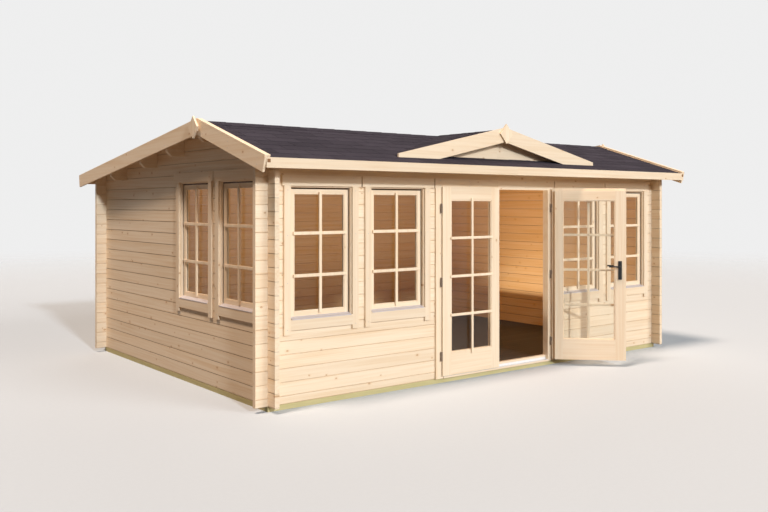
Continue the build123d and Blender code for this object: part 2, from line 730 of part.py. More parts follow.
def window_sash(place, m):
    """Stiles and rails of one sash, grooved for the glass."""
    half, bottom, top = sash_size()
    face, back = -SASH_SETBACK, -SASH_SETBACK - SASH_THICKNESS
    low = bottom + SASH_BOTTOM_RAIL
    high = top - SASH_TOP_RAIL
    joint = LEAF_JOINT_GAP
    glass = glass_block(place, m, GLASS_LAP + GROOVE_PLAY, GLASS_THICKNESS + 2 * GROOVE_PLAY)
    parts = [
        place(m - half, m - half + SASH_STILE, face, back, bottom, top),
        place(m + half - SASH_STILE, m + half, face, back, bottom, top),
        place(m - half + SASH_STILE + joint, m + half - SASH_STILE - joint, face, back, bottom, low),
        place(m - half + SASH_STILE + joint, m + half - SASH_STILE - joint, face, back, high, top),
    ]
    return [part - glass for part in parts]


def glass_block(place, m, lap, thickness):
    """The pane of one sash, reaching lap into its groove."""
    half, bottom, top = sash_size()
    middle = -SASH_SETBACK - SASH_THICKNESS / 2
    low = bottom + SASH_BOTTOM_RAIL
    return place(m - half + SASH_STILE - lap, m + half - SASH_STILE + lap,
                 middle + thickness / 2, middle - thickness / 2,
                 low - lap, top - SASH_TOP_RAIL + lap)


def window_trims(place, m):
    """Two upright trims outside, and the sill board between them."""
    a, b = m - WINDOW_SPAN / 2, m + WINDOW_SPAN / 2
    top = HEADER_BOTTOM - LEAF_JOINT_GAP
    joint = LEAF_JOINT_GAP
    out = SEAT_GAP + TRIM_THICKNESS
    return [
        place(a, a + TRIM_WIDTH, SEAT_GAP, out, TRIM_BOTTOM, top),
        place(b - TRIM_WIDTH, b, SEAT_GAP, out, TRIM_BOTTOM, top),
        place(a + TRIM_WIDTH + joint, b - TRIM_WIDTH - joint, SEAT_GAP, out,
              SILL_BOARD_TOP - SILL_BOARD_HEIGHT, SILL_BOARD_TOP),
    ]


def drip_strip(place, m):
    """Folded metal strip that sheds water off the sill board."""
    half = FRAME_SPAN / 2 - FRAME_LINING - SASH_GAP
    nose = SEAT_GAP + TRIM_THICKNESS + DRIP_NOSE
    foot = -SASH_SETBACK + SEAT_GAP
    t = DRIP_THICKNESS
    low, high = SILL_BOARD_TOP + SEAT_GAP, SILL_BOARD_TOP + DRIP_RISE
    section = [(foot, high), (nose, low + t), (nose, low - DRIP_FOLD),
               (nose - t, low - DRIP_FOLD), (nose - t, low), (foot, high - t)]
    if place is on_left:
        pts = [(-HALF_W - d, z + SIDE_WINDOW_RISE) for d, z in section]
        return bar_y(pts, -HALF_D + m - half, -HALF_D + m + half)
    pts = [(-HALF_D - d, z) for d, z in section]
    hand = -1 if place is on_front else 1
    middle = hand * (HALF_W - m)
    return bar_x(pts, middle - half, middle + half)


def header_spans():
    """Header boards over one pair of windows, from the corner: start and end."""
    gap = HEADER_GAP / 2
    start = WINDOW_MIDDLES[0] - WINDOW_SPAN / 2 - HEADER_CORNER_LAP
    middle = sum(WINDOW_MIDDLES) / 2
    end = HALF_W - DOOR_FRAME_HALF - HEADER_DOOR_LAP
    return [(start, middle - gap), (middle + gap, end - gap)]


def build_windows():
    frames, sashes, glass, trims, drips, headers = [], [], [], [], [], []
    out = SEAT_GAP + TRIM_THICKNESS
    for place in WALL_SIDES:
        for m in WINDOW_MIDDLES:
            frames.extend(window_frame(place, m))
            sashes.extend(window_sash(place, m))
            glass.append(glass_block(place, m, GLASS_LAP, GLASS_THICKNESS))
            trims.extend(window_trims(place, m))
            drips.append(drip_strip(place, m))
        for a, b in header_spans():
            headers.append(place(a, b, SEAT_GAP, out, HEADER_BOTTOM, HEADER_TOP))
    half = DOOR_FRAME_HALF + HEADER_DOOR_LAP - HEADER_GAP / 2
    headers.append(box(-half, half, -HALF_D - SEAT_GAP, -HALF_D - out, HEADER_BOTTOM, HEADER_TOP))
    write("window_frames", frames)
    write("window_sashes", sashes)
    write("window_glass", glass)
    write("window_trims", trims)
    write("window_drip_strips", drips)
    write("header_boards", headers)


JAMB_INNER = DOOR_FRAME_HALF - DOOR_CASING
CASING_FACE_Y = -HALF_D - DOOR_CASING_THICKNESS
LEAF_FACE_Y = -HALF_D - LEAF_FACE
LIP_BACK_Y = LEAF_FACE_Y + LEAF_LIP
LEAF_BACK_Y = LEAF_FACE_Y + LEAF_THICKNESS
LEAF_OUTER = JAMB_INNER + LEAF_LIP_LAP
LEAF_BODY_OUTER = JAMB_INNER - LEAF_RUN_GAP
LEAF_INNER = LEAF_MEET_GAP / 2
LEAF_BODY_TOP = DOOR_HEAD - LEAF_RUN_GAP
PIN_X = LEAF_OUTER + HINGE_PIN_OUT
PIN_Y = CASING_FACE_Y - HINGE_PIN_FORWARD


def build_door_frame():
    casing_low = BEARER_HEIGHT + SEAT_GAP
    jamb_back = -HALF_D + DOOR_REVEAL
    sill_front = -HALF_D - SILL_NOSE
    parts = []
    for hand in (-1, 1):
        section = [
            (hand * DOOR_FRAME_HALF, CASING_FACE_Y),
            (hand * JAMB_INNER, CASING_FACE_Y),
            (hand * JAMB_INNER, jamb_back),
            (hand * (JAMB_INNER + DOOR_JAMB), jamb_back),
            (hand * (JAMB_INNER + DOOR_JAMB), -HALF_D - SEAT_GAP),
            (hand * DOOR_FRAME_HALF, -HALF_D - SEAT_GAP),
        ]
        face = make_face(Polyline(*section, close=True))
        top = HEADER_BOTTOM - LEAF_JOINT_GAP
        parts.append(extrude(Plane.XY.offset(casing_low) * face, top - casing_low))
    half = JAMB_INNER + DOOR_JAMB
    parts.append(box(-half, half, -HALF_D, jamb_back, HEADER_BOTTOM, DOOR_HOLE_TOP - FRAME_PLAY))
    parts.append(box(-JAMB_INNER + LEAF_JOINT_GAP, JAMB_INNER - LEAF_JOINT_GAP, CASING_FACE_Y,
                     jamb_back, DOOR_HEAD, HEADER_BOTTOM - LEAF_JOINT_GAP))
    write("door_frame", parts)
    inner = JAMB_INNER - LEAF_JOINT_GAP
    flange_front = LEAF_BACK_Y + LEAF_RUN_GAP
    flange_back = flange_front + SILL_STRIP_THICKNESS
    threshold = flange_back + SEAT_GAP
    sill = bar_x([
        (sill_front, BEARER_HEIGHT), (sill_front, DOOR_SILL_TOP), (threshold, DOOR_SILL_TOP),
        (threshold, BEARER_HEIGHT + THRESHOLD_HEIGHT), (jamb_back, BEARER_HEIGHT + THRESHOLD_HEIGHT),
        (jamb_back, BEARER_HEIGHT),
    ], -inner, inner)
    strip_front = sill_front + SILL_STRIP_SETBACK
    strip_low = DOOR_SILL_TOP + SEAT_GAP
    strip_high = strip_low + SILL_STRIP_THICKNESS
    strip = bar_x([
        (strip_front, strip_low), (strip_front, strip_high), (flange_front, strip_high),
        (flange_front, strip_low + SILL_STRIP_FLANGE), (flange_back, strip_low + SILL_STRIP_FLANGE),
        (flange_back, strip_low),
    ], -inner, inner)
    write("door_sill", [sill])
    write("door_sill_strip", [strip])


def leaf_glass(lap, thickness):
    """Pane of the right leaf, closed."""
    middle = (LEAF_FACE_Y + LEAF_BACK_Y) / 2
    return box(LEAF_INNER + LEAF_STILE - lap, LEAF_OUTER - LEAF_STILE + lap,
               middle - thickness / 2, middle + thickness / 2,
               LEAF_BOTTOM + LEAF_BOTTOM_RAIL - lap, LEAF_TOP - LEAF_TOP_RAIL + lap)


def leaf_frame():
    """Stiles and rails of the right leaf, closed, with the lip that laps the frame."""
    outer, inner = LEAF_OUTER, LEAF_INNER
    joint = LEAF_JOINT_GAP
    hinge_stile = (box(outer - LEAF_STILE, outer, LEAF_FACE_Y, LIP_BACK_Y, LEAF_BOTTOM, LEAF_TOP)
                   + box(outer - LEAF_STILE, LEAF_BODY_OUTER, LIP_BACK_Y, LEAF_BACK_Y,
                         LEAF_BOTTOM, LEAF_BODY_TOP))
    lock_stile = (box(inner, inner + LEAF_STILE, LEAF_FACE_Y, LIP_BACK_Y, LEAF_BOTTOM, LEAF_TOP)
                  + box(inner, inner + LEAF_STILE, LIP_BACK_Y, LEAF_BACK_Y,
                        LEAF_BOTTOM, LEAF_BODY_TOP))
    a, b = inner + LEAF_STILE + joint, outer - LEAF_STILE - joint
    low_rail = box(a, b, LEAF_FACE_Y, LEAF_BACK_Y, LEAF_BOTTOM, LEAF_BOTTOM + LEAF_BOTTOM_RAIL)
    top_rail = (box(a, b, LEAF_FACE_Y, LIP_BACK_Y, LEAF_TOP - LEAF_TOP_RAIL, LEAF_TOP)
                + box(a, b, LIP_BACK_Y, LEAF_BACK_Y, LEAF_TOP - LEAF_TOP_RAIL, LEAF_BODY_TOP))
    groove = leaf_glass(GLASS_LAP + GROOVE_PLAY, GLASS_THICKNESS + 2 * GROOVE_PLAY)
    return [hinge_stile - groove, lock_stile - groove, low_rail - groove, top_rail - groove]


def turned(shape):
    """A piece of the closed right leaf, swung to where it stands open."""
    axis = Axis((PIN_X, PIN_Y, 0), (0, 0, 1))
    return shape.rotate(axis, RIGHT_LEAF_OPEN)


def to_left(shape):
    """The same piece on the left leaf."""
    return mirror(shape, Plane.YZ)


def hinge_half(z, upper):
    """Half a barrel hinge of the right leaf: knuckle, and the plate that holds it."""
    low = z + HINGE_GAP / 2 if upper else z - HINGE_LENGTH / 2
    high = z + HINGE_LENGTH / 2 if upper else z - HINGE_GAP / 2
    knuckle = extrude(Pos(PIN_X, PIN_Y, low) * RegularPolygon(HINGE_RADIUS, ROUND_SIDES),
                      high - low)
    half = HINGE_PLATE / 2
    if upper:
        plate = box(LEAF_OUTER + SEAT_GAP, PIN_X, PIN_Y - half, PIN_Y + half,
                    low + HINGE_PLATE, high - HINGE_PLATE)
    else:
        plate = box(PIN_X - half, PIN_X + half, PIN_Y, CASING_FACE_Y - SEAT_GAP,
                    low + HINGE_PLATE, high - HINGE_PLATE)
    return knuckle + plate


def lock_plates():
    """Backplates on both faces of the right leaf."""
    x = LEAF_INNER + PLATE_FROM_EDGE
    plates = []
    for near, far in ((LEAF_FACE_Y - SEAT_GAP - PLATE_THICKNESS, LEAF_FACE_Y - SEAT_GAP),
                      (LEAF_BACK_Y + SEAT_GAP, LEAF_BACK_Y + SEAT_GAP + PLATE_THICKNESS)):
        plate = box(x - PLATE_WIDTH / 2, x + PLATE_WIDTH / 2, near, far,
                    LEVER_HEIGHT - PLATE_BELOW_LEVER, LEVER_HEIGHT + PLATE_ABOVE_LEVER)
        plate = chamfer(plate.edges().filter_by(Axis.Y), PLATE_CORNER)
        middle = (near + far) / 2
        bore = Pos(x, middle, LEVER_HEIGHT) * Rot(90, 0, 0) * Cylinder(
            SPINDLE_SIZE / 2 + SEAT_GAP, PLATE_THICKNESS * 3)
        plates.append(plate - bore)
    return plates


def spindle_hole():
    """Bore through the lock stile for the spindle."""
    x = LEAF_INNER + PLATE_FROM_EDGE
    middle = (LEAF_FACE_Y + LEAF_BACK_Y) / 2
    return Pos(x, middle, LEVER_HEIGHT) * Rot(90, 0, 0) * Cylinder(
        SPINDLE_BORE / 2, LEAF_THICKNESS * 2)


def lever():
    """Both lever handles on their spindle, pointing to the hinges."""
    x = LEAF_INNER + PLATE_FROM_EDGE
    neck_start = SEAT_GAP + PLATE_THICKNESS + SEAT_GAP
    front, back = LEAF_FACE_Y - neck_start, LEAF_BACK_Y + neck_start
    body = Pos(x, (front + back) / 2, LEVER_HEIGHT) * Rot(90, 0, 0) * Cylinder(
        SPINDLE_SIZE / 2, back - front)
    for side, start, face in ((-1, front, LEAF_FACE_Y), (1, back, LEAF_BACK_Y)):
        reach = face + side * LEVER_REACH
        route = FilletPolyline((x, start, LEVER_HEIGHT), (x, reach, LEVER_HEIGHT),
                               (x + LEVER_LENGTH, reach, LEVER_HEIGHT), radius=LEVER_BEND_RADIUS)
        plane = Plane(origin=(x, start, LEVER_HEIGHT), z_dir=(0, side, 0))
        section = plane * RegularPolygon(LEVER_RADIUS, ROUND_SIDES)
        body += sweep(section, path=route)
    return body


def build_door():
    frame = leaf_frame()
    pane = leaf_glass(GLASS_LAP, GLASS_THICKNESS)
    write("left_door_leaf", [to_left(part) for part in frame])
    write("left_door_glass", [to_left(pane)])
    frame[1] -= spindle_hole()
    write("right_door_leaf", [turned(part) for part in frame])
    write("right_door_glass", [turned(pane)])
    fixed, leaf_halves = [], []
    for z in HINGE_HEIGHTS:
        fixed.append(hinge_half(z, False))
        leaf_halves.append(hinge_half(z, True))
    write("frame_hinges", fixed + [to_left(half) for half in fixed])
    write("left_leaf_hinges", [to_left(half) for half in leaf_halves])
    write("right_leaf_hinges", [turned(half) for half in leaf_halves])
    write("door_lock_plates", [turned(plate) for plate in lock_plates()])
    write("door_lever", [turned(lever())])


def main():
    os.makedirs("parts", exist_ok=True)
    build_base()
    build_front_wall()
    build_back_wall()
    build_side_walls()
    build_purlins()
    build_roof_layers()
    build_verges()
    build_fascias()
    build_dormer()
    build_windows()
    build_door_frame()
    build_door()


main()
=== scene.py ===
import math
import random

import bmesh
import bpy
from bpy.props import FloatProperty, FloatVectorProperty, PointerProperty
from mathutils import Matrix, Vector


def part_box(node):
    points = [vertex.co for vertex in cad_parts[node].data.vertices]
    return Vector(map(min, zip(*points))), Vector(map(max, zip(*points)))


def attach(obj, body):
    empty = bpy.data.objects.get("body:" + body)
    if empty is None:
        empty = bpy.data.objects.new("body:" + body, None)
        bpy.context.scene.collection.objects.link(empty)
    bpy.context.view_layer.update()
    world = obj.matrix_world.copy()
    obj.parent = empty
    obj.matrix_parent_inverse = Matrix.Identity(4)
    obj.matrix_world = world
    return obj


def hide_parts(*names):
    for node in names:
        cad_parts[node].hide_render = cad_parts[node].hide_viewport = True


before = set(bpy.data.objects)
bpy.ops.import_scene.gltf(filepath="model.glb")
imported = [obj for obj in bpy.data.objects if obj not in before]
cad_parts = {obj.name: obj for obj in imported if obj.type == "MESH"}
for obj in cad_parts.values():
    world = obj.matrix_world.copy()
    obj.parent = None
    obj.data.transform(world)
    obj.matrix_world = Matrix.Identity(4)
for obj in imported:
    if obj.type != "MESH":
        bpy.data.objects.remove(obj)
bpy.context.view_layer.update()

bl_info = {
    "name": "Log Cabin",
    "version": (1, 0, 0),
    "blender": (4, 5, 0),
    "location": "3D View > Sidebar > Cabin",
    "description": "Glazing bars, boards, shingles, fittings and finishes of a log cabin",
    "category": "Add Mesh",
}

# Metres. X runs along the front, the front faces -Y, Z is up.
WALL_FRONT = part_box("front_wall_left")[0][1]
WALL_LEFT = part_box("left_wall")[0][0]
LOG_PITCH = 0.114
FRONT_FIRST_JOINT = 0.110
SIDE_RISE = LOG_PITCH / 2

# Roof, measured at the underside of its boards
RIDGE_Y = -0.9625
RIDGE_Z = 2.43007
FRONT_SLOPE = math.radians(17.5)
BACK_SLOPE = math.radians(7.6)
FRONT_RUN = (RIDGE_Y + 2.1525) / math.cos(FRONT_SLOPE)
BACK_RUN = (2.1855 - RIDGE_Y) / math.cos(BACK_SLOPE)
DECK_THICKNESS = 0.019
SHINGLE_TOP = 0.024
SHINGLE_EDGE = 2.7975
VERGE_FACE = 2.855
DORMER_SLOPE = math.radians(12.7)
DORMER_HALF = 1.376
DORMER_MIDDLE = 0.018

# Windows, measured from their middles and the wall's outer face
FRONT_WINDOWS = (-2.13004, -1.28954, 1.28954, 2.13004)
LEFT_WINDOWS = (-1.35254, -0.51204)
PANE_HALF = 0.262
PANE_LOW = 0.798
PANE_HIGH = 1.8058
SASH_FACE = 0.028
SASH_HALF = 0.304
SASH_TOP = 1.8528
HEADER_LOW = 1.8658
HEADER_HIGH = 1.9568
HEADER_JOINTS = (-1.70979, -0.852, 0.852, 1.70979)
BAR_HEIGHTS = (1.105, 1.465)

# Inner faces of the walls
INSIDE_X = 2.630
INSIDE_Y = 1.853

# Right door leaf, closed
LEAF_FACE_Y = -1.9185
LEAF_BACK_Y = -1.8745
LEAF_GLASS = (0.114, 0.657, 0.283, 1.753)
LEAF_MIDDLE = 0.3855
LEAF_OPEN = math.radians(135.0)
PIN = (0.779, -1.9125, 0.0)
PLATE_X = 0.066
LEVER_Z = 1.058

TONE = "tone"


# Settings a user would change

class CabinTimber(bpy.types.PropertyGroup):
    """Colours of the spruce"""
    pale: FloatVectorProperty(
        name="Pale wood", description="Colour of the wood between the growth rings",
        subtype="COLOR", size=3, min=0.0, max=1.0, default=(0.93, 0.78, 0.595))
    warm: FloatVectorProperty(
        name="Warm wood", description="Colour of the darker streaks and growth rings",
        subtype="COLOR", size=3, min=0.0, max=1.0, default=(0.81, 0.60, 0.385))
    knot: FloatVectorProperty(
        name="Knots", description="Colour of the knots",
        subtype="COLOR", size=3, min=0.0, max=1.0, default=(0.42, 0.21, 0.10))
    # Painted light: the inner faces are painted this orange to stand in for warm light indoors
    inside: FloatVectorProperty(
        name="Inside", description="Colour painted on the inner faces as warm indoor light",
        subtype="COLOR", size=3, min=0.0, max=1.0, default=(0.68, 0.38, 0.13))
    treated: FloatVectorProperty(
        name="Treated timber", description="Colour of the bearers under the walls",
        subtype="COLOR", size=3, min=0.0, max=1.0, default=(0.68, 0.58, 0.32))
    ring_width: FloatProperty(
        name="Ring width", description="Distance between two growth rings",
        unit="LENGTH", min=0.001, max=0.02, default=0.0052)


class CabinGlazing(bpy.types.PropertyGroup):
    """Bars and beads of the panes"""
    window_bar: FloatProperty(
        name="Window bar", description="Width of a bar on a window",
        unit="LENGTH", min=0.005, max=0.08, default=0.028)
    door_bar: FloatProperty(
        name="Door bar", description="Width of a bar on a door leaf",
        unit="LENGTH", min=0.005, max=0.08, default=0.026)
    bead: FloatProperty(
        name="Bead", description="Width of the beads that hold the panes",
        unit="LENGTH", min=0.004, max=0.03, default=0.010)


class CabinRoofing(bpy.types.PropertyGroup):
    """Felt shingles and boards"""
    tab_width: FloatProperty(
        name="Tab width", description="Width of one shingle tab",
        unit="LENGTH", min=0.1, max=0.6, default=0.333)
    exposure: FloatProperty(
        name="Exposure", description="Height of a course of shingles that shows",
        unit="LENGTH", min=0.08, max=0.3, default=0.145)
    felt: FloatVectorProperty(
        name="Felt", description="Colour of the shingles",
        subtype="COLOR", size=3, min=0.0, max=1.0, default=(0.040, 0.034, 0.043))
    board_width: FloatProperty(
        name="Roof board", description="Width of one roof board",
        unit="LENGTH", min=0.05, max=0.2, default=0.088)
    floor_board: FloatProperty(
        name="Floor board", description="Width of one floor board",
        unit="LENGTH", min=0.05, max=0.2, default=0.096)
    floor_stain: FloatVectorProperty(
        name="Floor stain", description="Colour of the stained floor boards",
        subtype="COLOR", size=3, min=0.0, max=1.0, default=(0.030, 0.026, 0.023))


class CabinStage(bpy.types.PropertyGroup):
    """Floor, lamps and camera"""
    ground: FloatVectorProperty(
        name="Floor", description="Colour of the floor and of what lies behind it",
        subtype="COLOR", size=3, min=0.0, max=1.0, default=(0.86, 0.86, 0.86))
    key: FloatProperty(
        name="Key lamp", description="Strength of the lamp at the front",
        min=0.0, max=10.0, default=2.05)
    front: FloatProperty(
        name="Front fill", description="Strength of the wide lamp that faces the front",
        min=0.0, max=10.0, default=1.8)
    side: FloatProperty(
        name="Side lamp", description="Strength of the steep lamp over the left wall",
        min=0.0, max=10.0, default=2.75)
    back: FloatProperty(
        name="Back lamp", description="Strength of the soft lamp behind the cabin",
        min=0.0, max=10.0, default=1.1)
    fill: FloatProperty(
        name="Fill", description="Strength of the light from all round",
        min=0.0, max=3.0, default=0.07)
    indoors: FloatProperty(
        name="Indoors", description="Strength of the light that the floor would send back up",
        min=0.0, max=500.0, default=72.0)
    lens: FloatProperty(
        name="Lens", description="Focal length of the camera",
        unit="CAMERA", min=10.0, max=200.0, default=40.0)


# Materials

class Wire:
    """A number that changes over a surface, with arithmetic"""

    def __init__(self, finish, socket):
        self.finish = finish
        self.socket = socket

    def math(self, operation, *others):
        inputs = dict(enumerate((self, *others)))
        return self.finish.add("ShaderNodeMath", {"operation": operation}, inputs)

    def __add__(self, other):
        return self.math("ADD", other)

    __radd__ = __add__

    def __sub__(self, other):
        return self.math("SUBTRACT", other)

    def __rsub__(self, other):
        return self.finish.add("ShaderNodeMath", {"operation": "SUBTRACT"}, {0: other, 1: self})

    def __mul__(self, other):
        return self.math("MULTIPLY", other)

    __rmul__ = __mul__

    def __truediv__(self, other):
        return self.math("DIVIDE", other)

    def __pow__(self, other):
        return self.math("POWER", other)

    def __gt__(self, other):
        return self.math("GREATER_THAN", other)

    def __lt__(self, other):
        return self.math("LESS_THAN", other)

    def __abs__(self):
        return self.math("ABSOLUTE")

    def floor(self):
        return self.math("FLOOR")

    def sine(self):
        return self.math("SINE")

    def choose(self, off, on):
        """off where this mask is 0, on where it is 1"""
        return off + (on - off) * self

    def smooth(self, low, high):
        """0 up to low, 1 from high, with a soft step between"""
        return self.finish.add(
            "ShaderNodeMapRange", {"interpolation_type": "SMOOTHSTEP"},
            {"Value": self, "From Min": low, "From Max": high})


class Finish:
    """A material and the nodes it is made of"""

    def __init__(self, owner, last="ShaderNodeOutputMaterial"):
        self.owner = owner
        self.last = last
        owner.use_nodes = True
        self.tree = owner.node_tree
        self.tree.nodes.clear()

    def add(self, kind, settings, inputs, out=0):
        """A node: settings first, then the values or links of its sockets"""
        node = self.tree.nodes.new(kind)
        for name, value in settings.items():
            setattr(node, name, value)
        for key, value in inputs.items():
            if isinstance(value, Wire):
                self.tree.links.new(value.socket, node.inputs[key])
            else:
                node.inputs[key].default_value = value
        if isinstance(out, tuple):
            return [Wire(self, node.outputs[key]) for key in out]
        return Wire(self, node.outputs[out])

    def place(self):
        """X, Y and Z on the object"""
        at = self.add("ShaderNodeTexCoord", {}, {}, "Object")
        return self.add("ShaderNodeSeparateXYZ", {}, {0: at}, ("X", "Y", "Z"))

    def facing(self):
        """X, Y and Z of the surface's normal on the object"""
        at = self.add("ShaderNodeTexCoord", {}, {}, "Normal")
        return self.add("ShaderNodeSeparateXYZ", {}, {0: at}, ("X", "Y", "Z"))

    def vector(self, x, y, z):
        return self.add("ShaderNodeCombineXYZ", {}, {0: x, 1: y, 2: z})

    def randoms(self, number):
        """Three random numbers for each whole number"""
        colour = self.add("ShaderNodeTexWhiteNoise", {"noise_dimensions": "1D"},
                          {"W": number}, "Color")
        return self.add("ShaderNodeSeparateXYZ", {}, {0: colour}, ("X", "Y", "Z"))

    def noise(self, vector, scale, detail=2.0):
        return self.add("ShaderNodeTexNoise", {"noise_dimensions": "3D"},
                        {"Vector": vector, "Scale": scale, "Detail": detail})

    def mix(self, factor, off, on):
        """Colours: off where factor is 0, on where it is 1"""
        return self.add("ShaderNodeMix", {"data_type": "RGBA"},
                        {0: factor, 6: self.colour(off), 7: self.colour(on)}, 2)

    def colour(self, value):
        return value if isinstance(value, Wire) else (*value[:3], 1.0)

    def shade(self, colour, amount):
        """A colour made darker or lighter by a number"""
        return self.add("ShaderNodeVectorMath", {"operation": "SCALE"},
                        {0: colour, "Scale": amount})

    def surface(self, settings, height=None, relief=0.001):
        """The shader itself, with a height in metres for its relief"""
        inputs = dict(settings)
        if not isinstance(inputs["Base Color"], Wire):
            inputs["Base Color"] = (*inputs["Base Color"][:3], 1.0)
        if height is not None:
            inputs["Normal"] = self.add("ShaderNodeBump", {},
                                        {"Height": height, "Distance": relief})
        shader = self.add("ShaderNodeBsdfPrincipled", {}, inputs)
        return self.output(shader)

    def seen(self):
        """1 for what the camera sees, straight, in a mirror or through glass"""
        rays = self.add("ShaderNodeLightPath", {}, {},
                        ("Is Camera Ray", "Is Glossy Ray", "Is Transmission Ray"))
        return rays[0].math("MAXIMUM", rays[1].math("MAXIMUM", rays[2]))

    def output(self, shader):
        node = self.tree.nodes.new(self.last)
        self.tree.links.new(shader.socket, node.inputs["Surface"])
        return self.owner


def new_finish(name):
    return Finish(bpy.data.materials.new(name))


def logs_along_x(finish, x, y, z):
    """Along, across, depth and number of each log of the front and back walls"""
    course = ((z - FRONT_FIRST_JOINT) / LOG_PITCH).floor()
    local = z - FRONT_FIRST_JOINT - (course + 0.5) * LOG_PITCH
    return x, local, y, course + (y > 0.0) * 40.0


def logs_along_y(finish, x, y, z):
    """Along, across, depth and number of each log of the side walls"""
    first = FRONT_FIRST_JOINT + SIDE_RISE
    course = ((z - first) / LOG_PITCH).floor()
    local = z - first - (course + 0.5) * LOG_PITCH
    return y, local, x, course + (x > 0.0) * 40.0 + 90.0


def boards_along_x(finish, x, y, z):
    return x, z, y, (y * 3.0).floor() + (x * 0.31).floor() * 7.0


def boards_along_y(finish, x, y, z):
    return y, z, x, (x > 0.0) * 5.0 + (y > RIDGE_Y) * 11.0


def upright_boards(finish, x, y, z):
    return z, x, y, (x * 7.0).floor()


def headers(finish, x, y, z):
    left = x < (WALL_LEFT + 0.01)
    across = left.choose(x, y)
    return across, z, left.choose(y, x), (across * 1.19).floor() + left * 17.0


def window_joinery(upright_from):
    """Stiles upright and rails level, for the windows of both walls"""
    def lay(finish, x, y, z):
        left = x < (WALL_LEFT + 0.08)
        wall = left.choose(x, y)
        folded = left.choose(abs(x) - 1.70979, y + 0.93229)
        off = abs(abs(folded) - 0.42025)
        upright = off > upright_from
        along = upright.choose(wall, z)
        across = upright.choose(z, wall)
        level = (z * 1.3).floor() * 7.0 + (wall * 1.19).floor()
        return along, across, left.choose(y, x), upright.choose(level, (wall * 5.0).floor())
    return lay


def door_casing(finish, x, y, z):
    upright = abs(x) > 0.7449
    return upright.choose(x, z), upright.choose(z, x), y, upright * 3.0 + (x > 0.0) * 2.0


def left_leaf(finish, x, y, z):
    """Stiles upright and rails level, on the closed left leaf"""
    return leaf_lay(-1.0 * x, y, z, 3.0)


def right_leaf(finish, x, y, z):
    """The same on the right leaf, turned back to where it closes"""
    at = finish.vector(x, y, z)
    back = finish.add("ShaderNodeVectorRotate", {"rotation_type": "Z_AXIS"},
                      {"Vector": at, "Center": PIN, "Angle": -LEAF_OPEN})
    x, y, z = finish.add("ShaderNodeSeparateXYZ", {}, {0: back}, ("X", "Y", "Z"))
    return leaf_lay(x, y, z, 9.0)


def leaf_lay(x, y, z, seed):
    side = x - LEAF_MIDDLE
    upright = abs(side) > 0.27151
    number = upright.choose((z > 1.0) * 1.0, (side > 0.0) * 1.0 + 2.0)
    return upright.choose(x, z), upright.choose(z, x), y, number + seed


def own_boards(lay):
    """Boards that carry their own number as an attribute"""
    def numbered(finish, x, y, z):
        along, across, depth, _ = lay(finish, x, y, z)
        tone = finish.add("ShaderNodeAttribute", {"attribute_name": TONE}, {}, "Fac")
        return along, across, depth, tone
    return numbered


def spruce(name, lay, timber, knots=0.2, shade=1.0, joint=0.0, inside=False):
    """Planed spruce: rings, streaks, knots and a tone for each board, with painted shade at the
    log joints and painted warm indoor light on the inner faces
    """
    f = new_finish(name)
    x, y, z = f.place()
    along, across, depth, number = lay(f, x, y, z)
    first, second, third = f.randoms(number)
    far = along + first * 37.0
    drift = f.noise(f.vector(far * 0.55, second * 9.0, third * 9.0), 1.0, 1.0)
    # Knots
    spot, cell = f.add("ShaderNodeTexVoronoi", {"voronoi_dimensions": "2D"},
                       {"Vector": f.vector(far / 0.17, (across + second * 4.0) / 0.115, 0.0),
                        "Scale": 1.0}, ("Distance", "Color"))
    chance, size, _ = f.add("ShaderNodeSeparateXYZ", {}, {0: cell}, ("X", "Y", "Z"))
    present = chance < knots
    radius = size * 0.05 + 0.035
    near = 1.0 - (spot / (radius * 3.4)).smooth(0.2, 1.0)
    heart = (1.0 - (spot / radius).smooth(0.75, 1.1)) * present
    rim = heart * (spot / radius).smooth(0.35, 0.85)
    # Growth rings round a pith that wanders along the board
    u = across + (second - 0.5) * 0.11 + (drift - 0.5) * 0.16 + near * present * 0.010
    v = depth - (depth / 0.5).floor() * 0.5 - 0.2 + third * 0.12
    ring = (((u * u + v * v) ** 0.5) * (2.0 * math.pi / timber.ring_width)).sine() * 0.5 + 0.5
    late = ring ** 3.0
    streak = f.noise(f.vector(far * 1.3, across * 46.0, depth * 46.0), 1.0, 3.0)
    cloud = f.noise(f.vector(far * 1.1, across * 9.0, depth * 9.0), 1.0, 1.0)
    warmth = streak.smooth(0.35, 0.75) * 0.44 + late * 0.26 + cloud.smooth(0.4, 0.8) * 0.24
    warmth = warmth + near * present * 0.35 + third * 0.16
    colour = f.mix(warmth, timber.pale, timber.warm)
    # Painted warm indoor light on the faces inside the walls' footprint
    if inside:
        indoors = (abs(x) < INSIDE_X) * (abs(y) < INSIDE_Y)
        colour = f.mix(indoors * (0.72 + warmth * 0.25), colour, timber.inside)
    colour = f.mix(heart * 0.6, colour, (0.60, 0.36, 0.19))
    colour = f.mix(rim * 0.6, colour, timber.knot)
    tone = first * 0.08 + (0.95 * shade)
    # Painted shade: each log is darkened towards its joints with the next course, standing in for
    # the groove's shadow
    if joint:
        tone = tone * (1.0 - (abs(across) / (LOG_PITCH / 2)).smooth(0.93, 1.0) * joint)
    height = late * 0.25 + streak * 0.3 - heart * 0.2
    return f.surface({"Base Color": f.shade(colour, tone),
                      "Roughness": 0.56 + late * 0.12,
                      "Specular IOR Level": 0.3}, height, 0.0006)


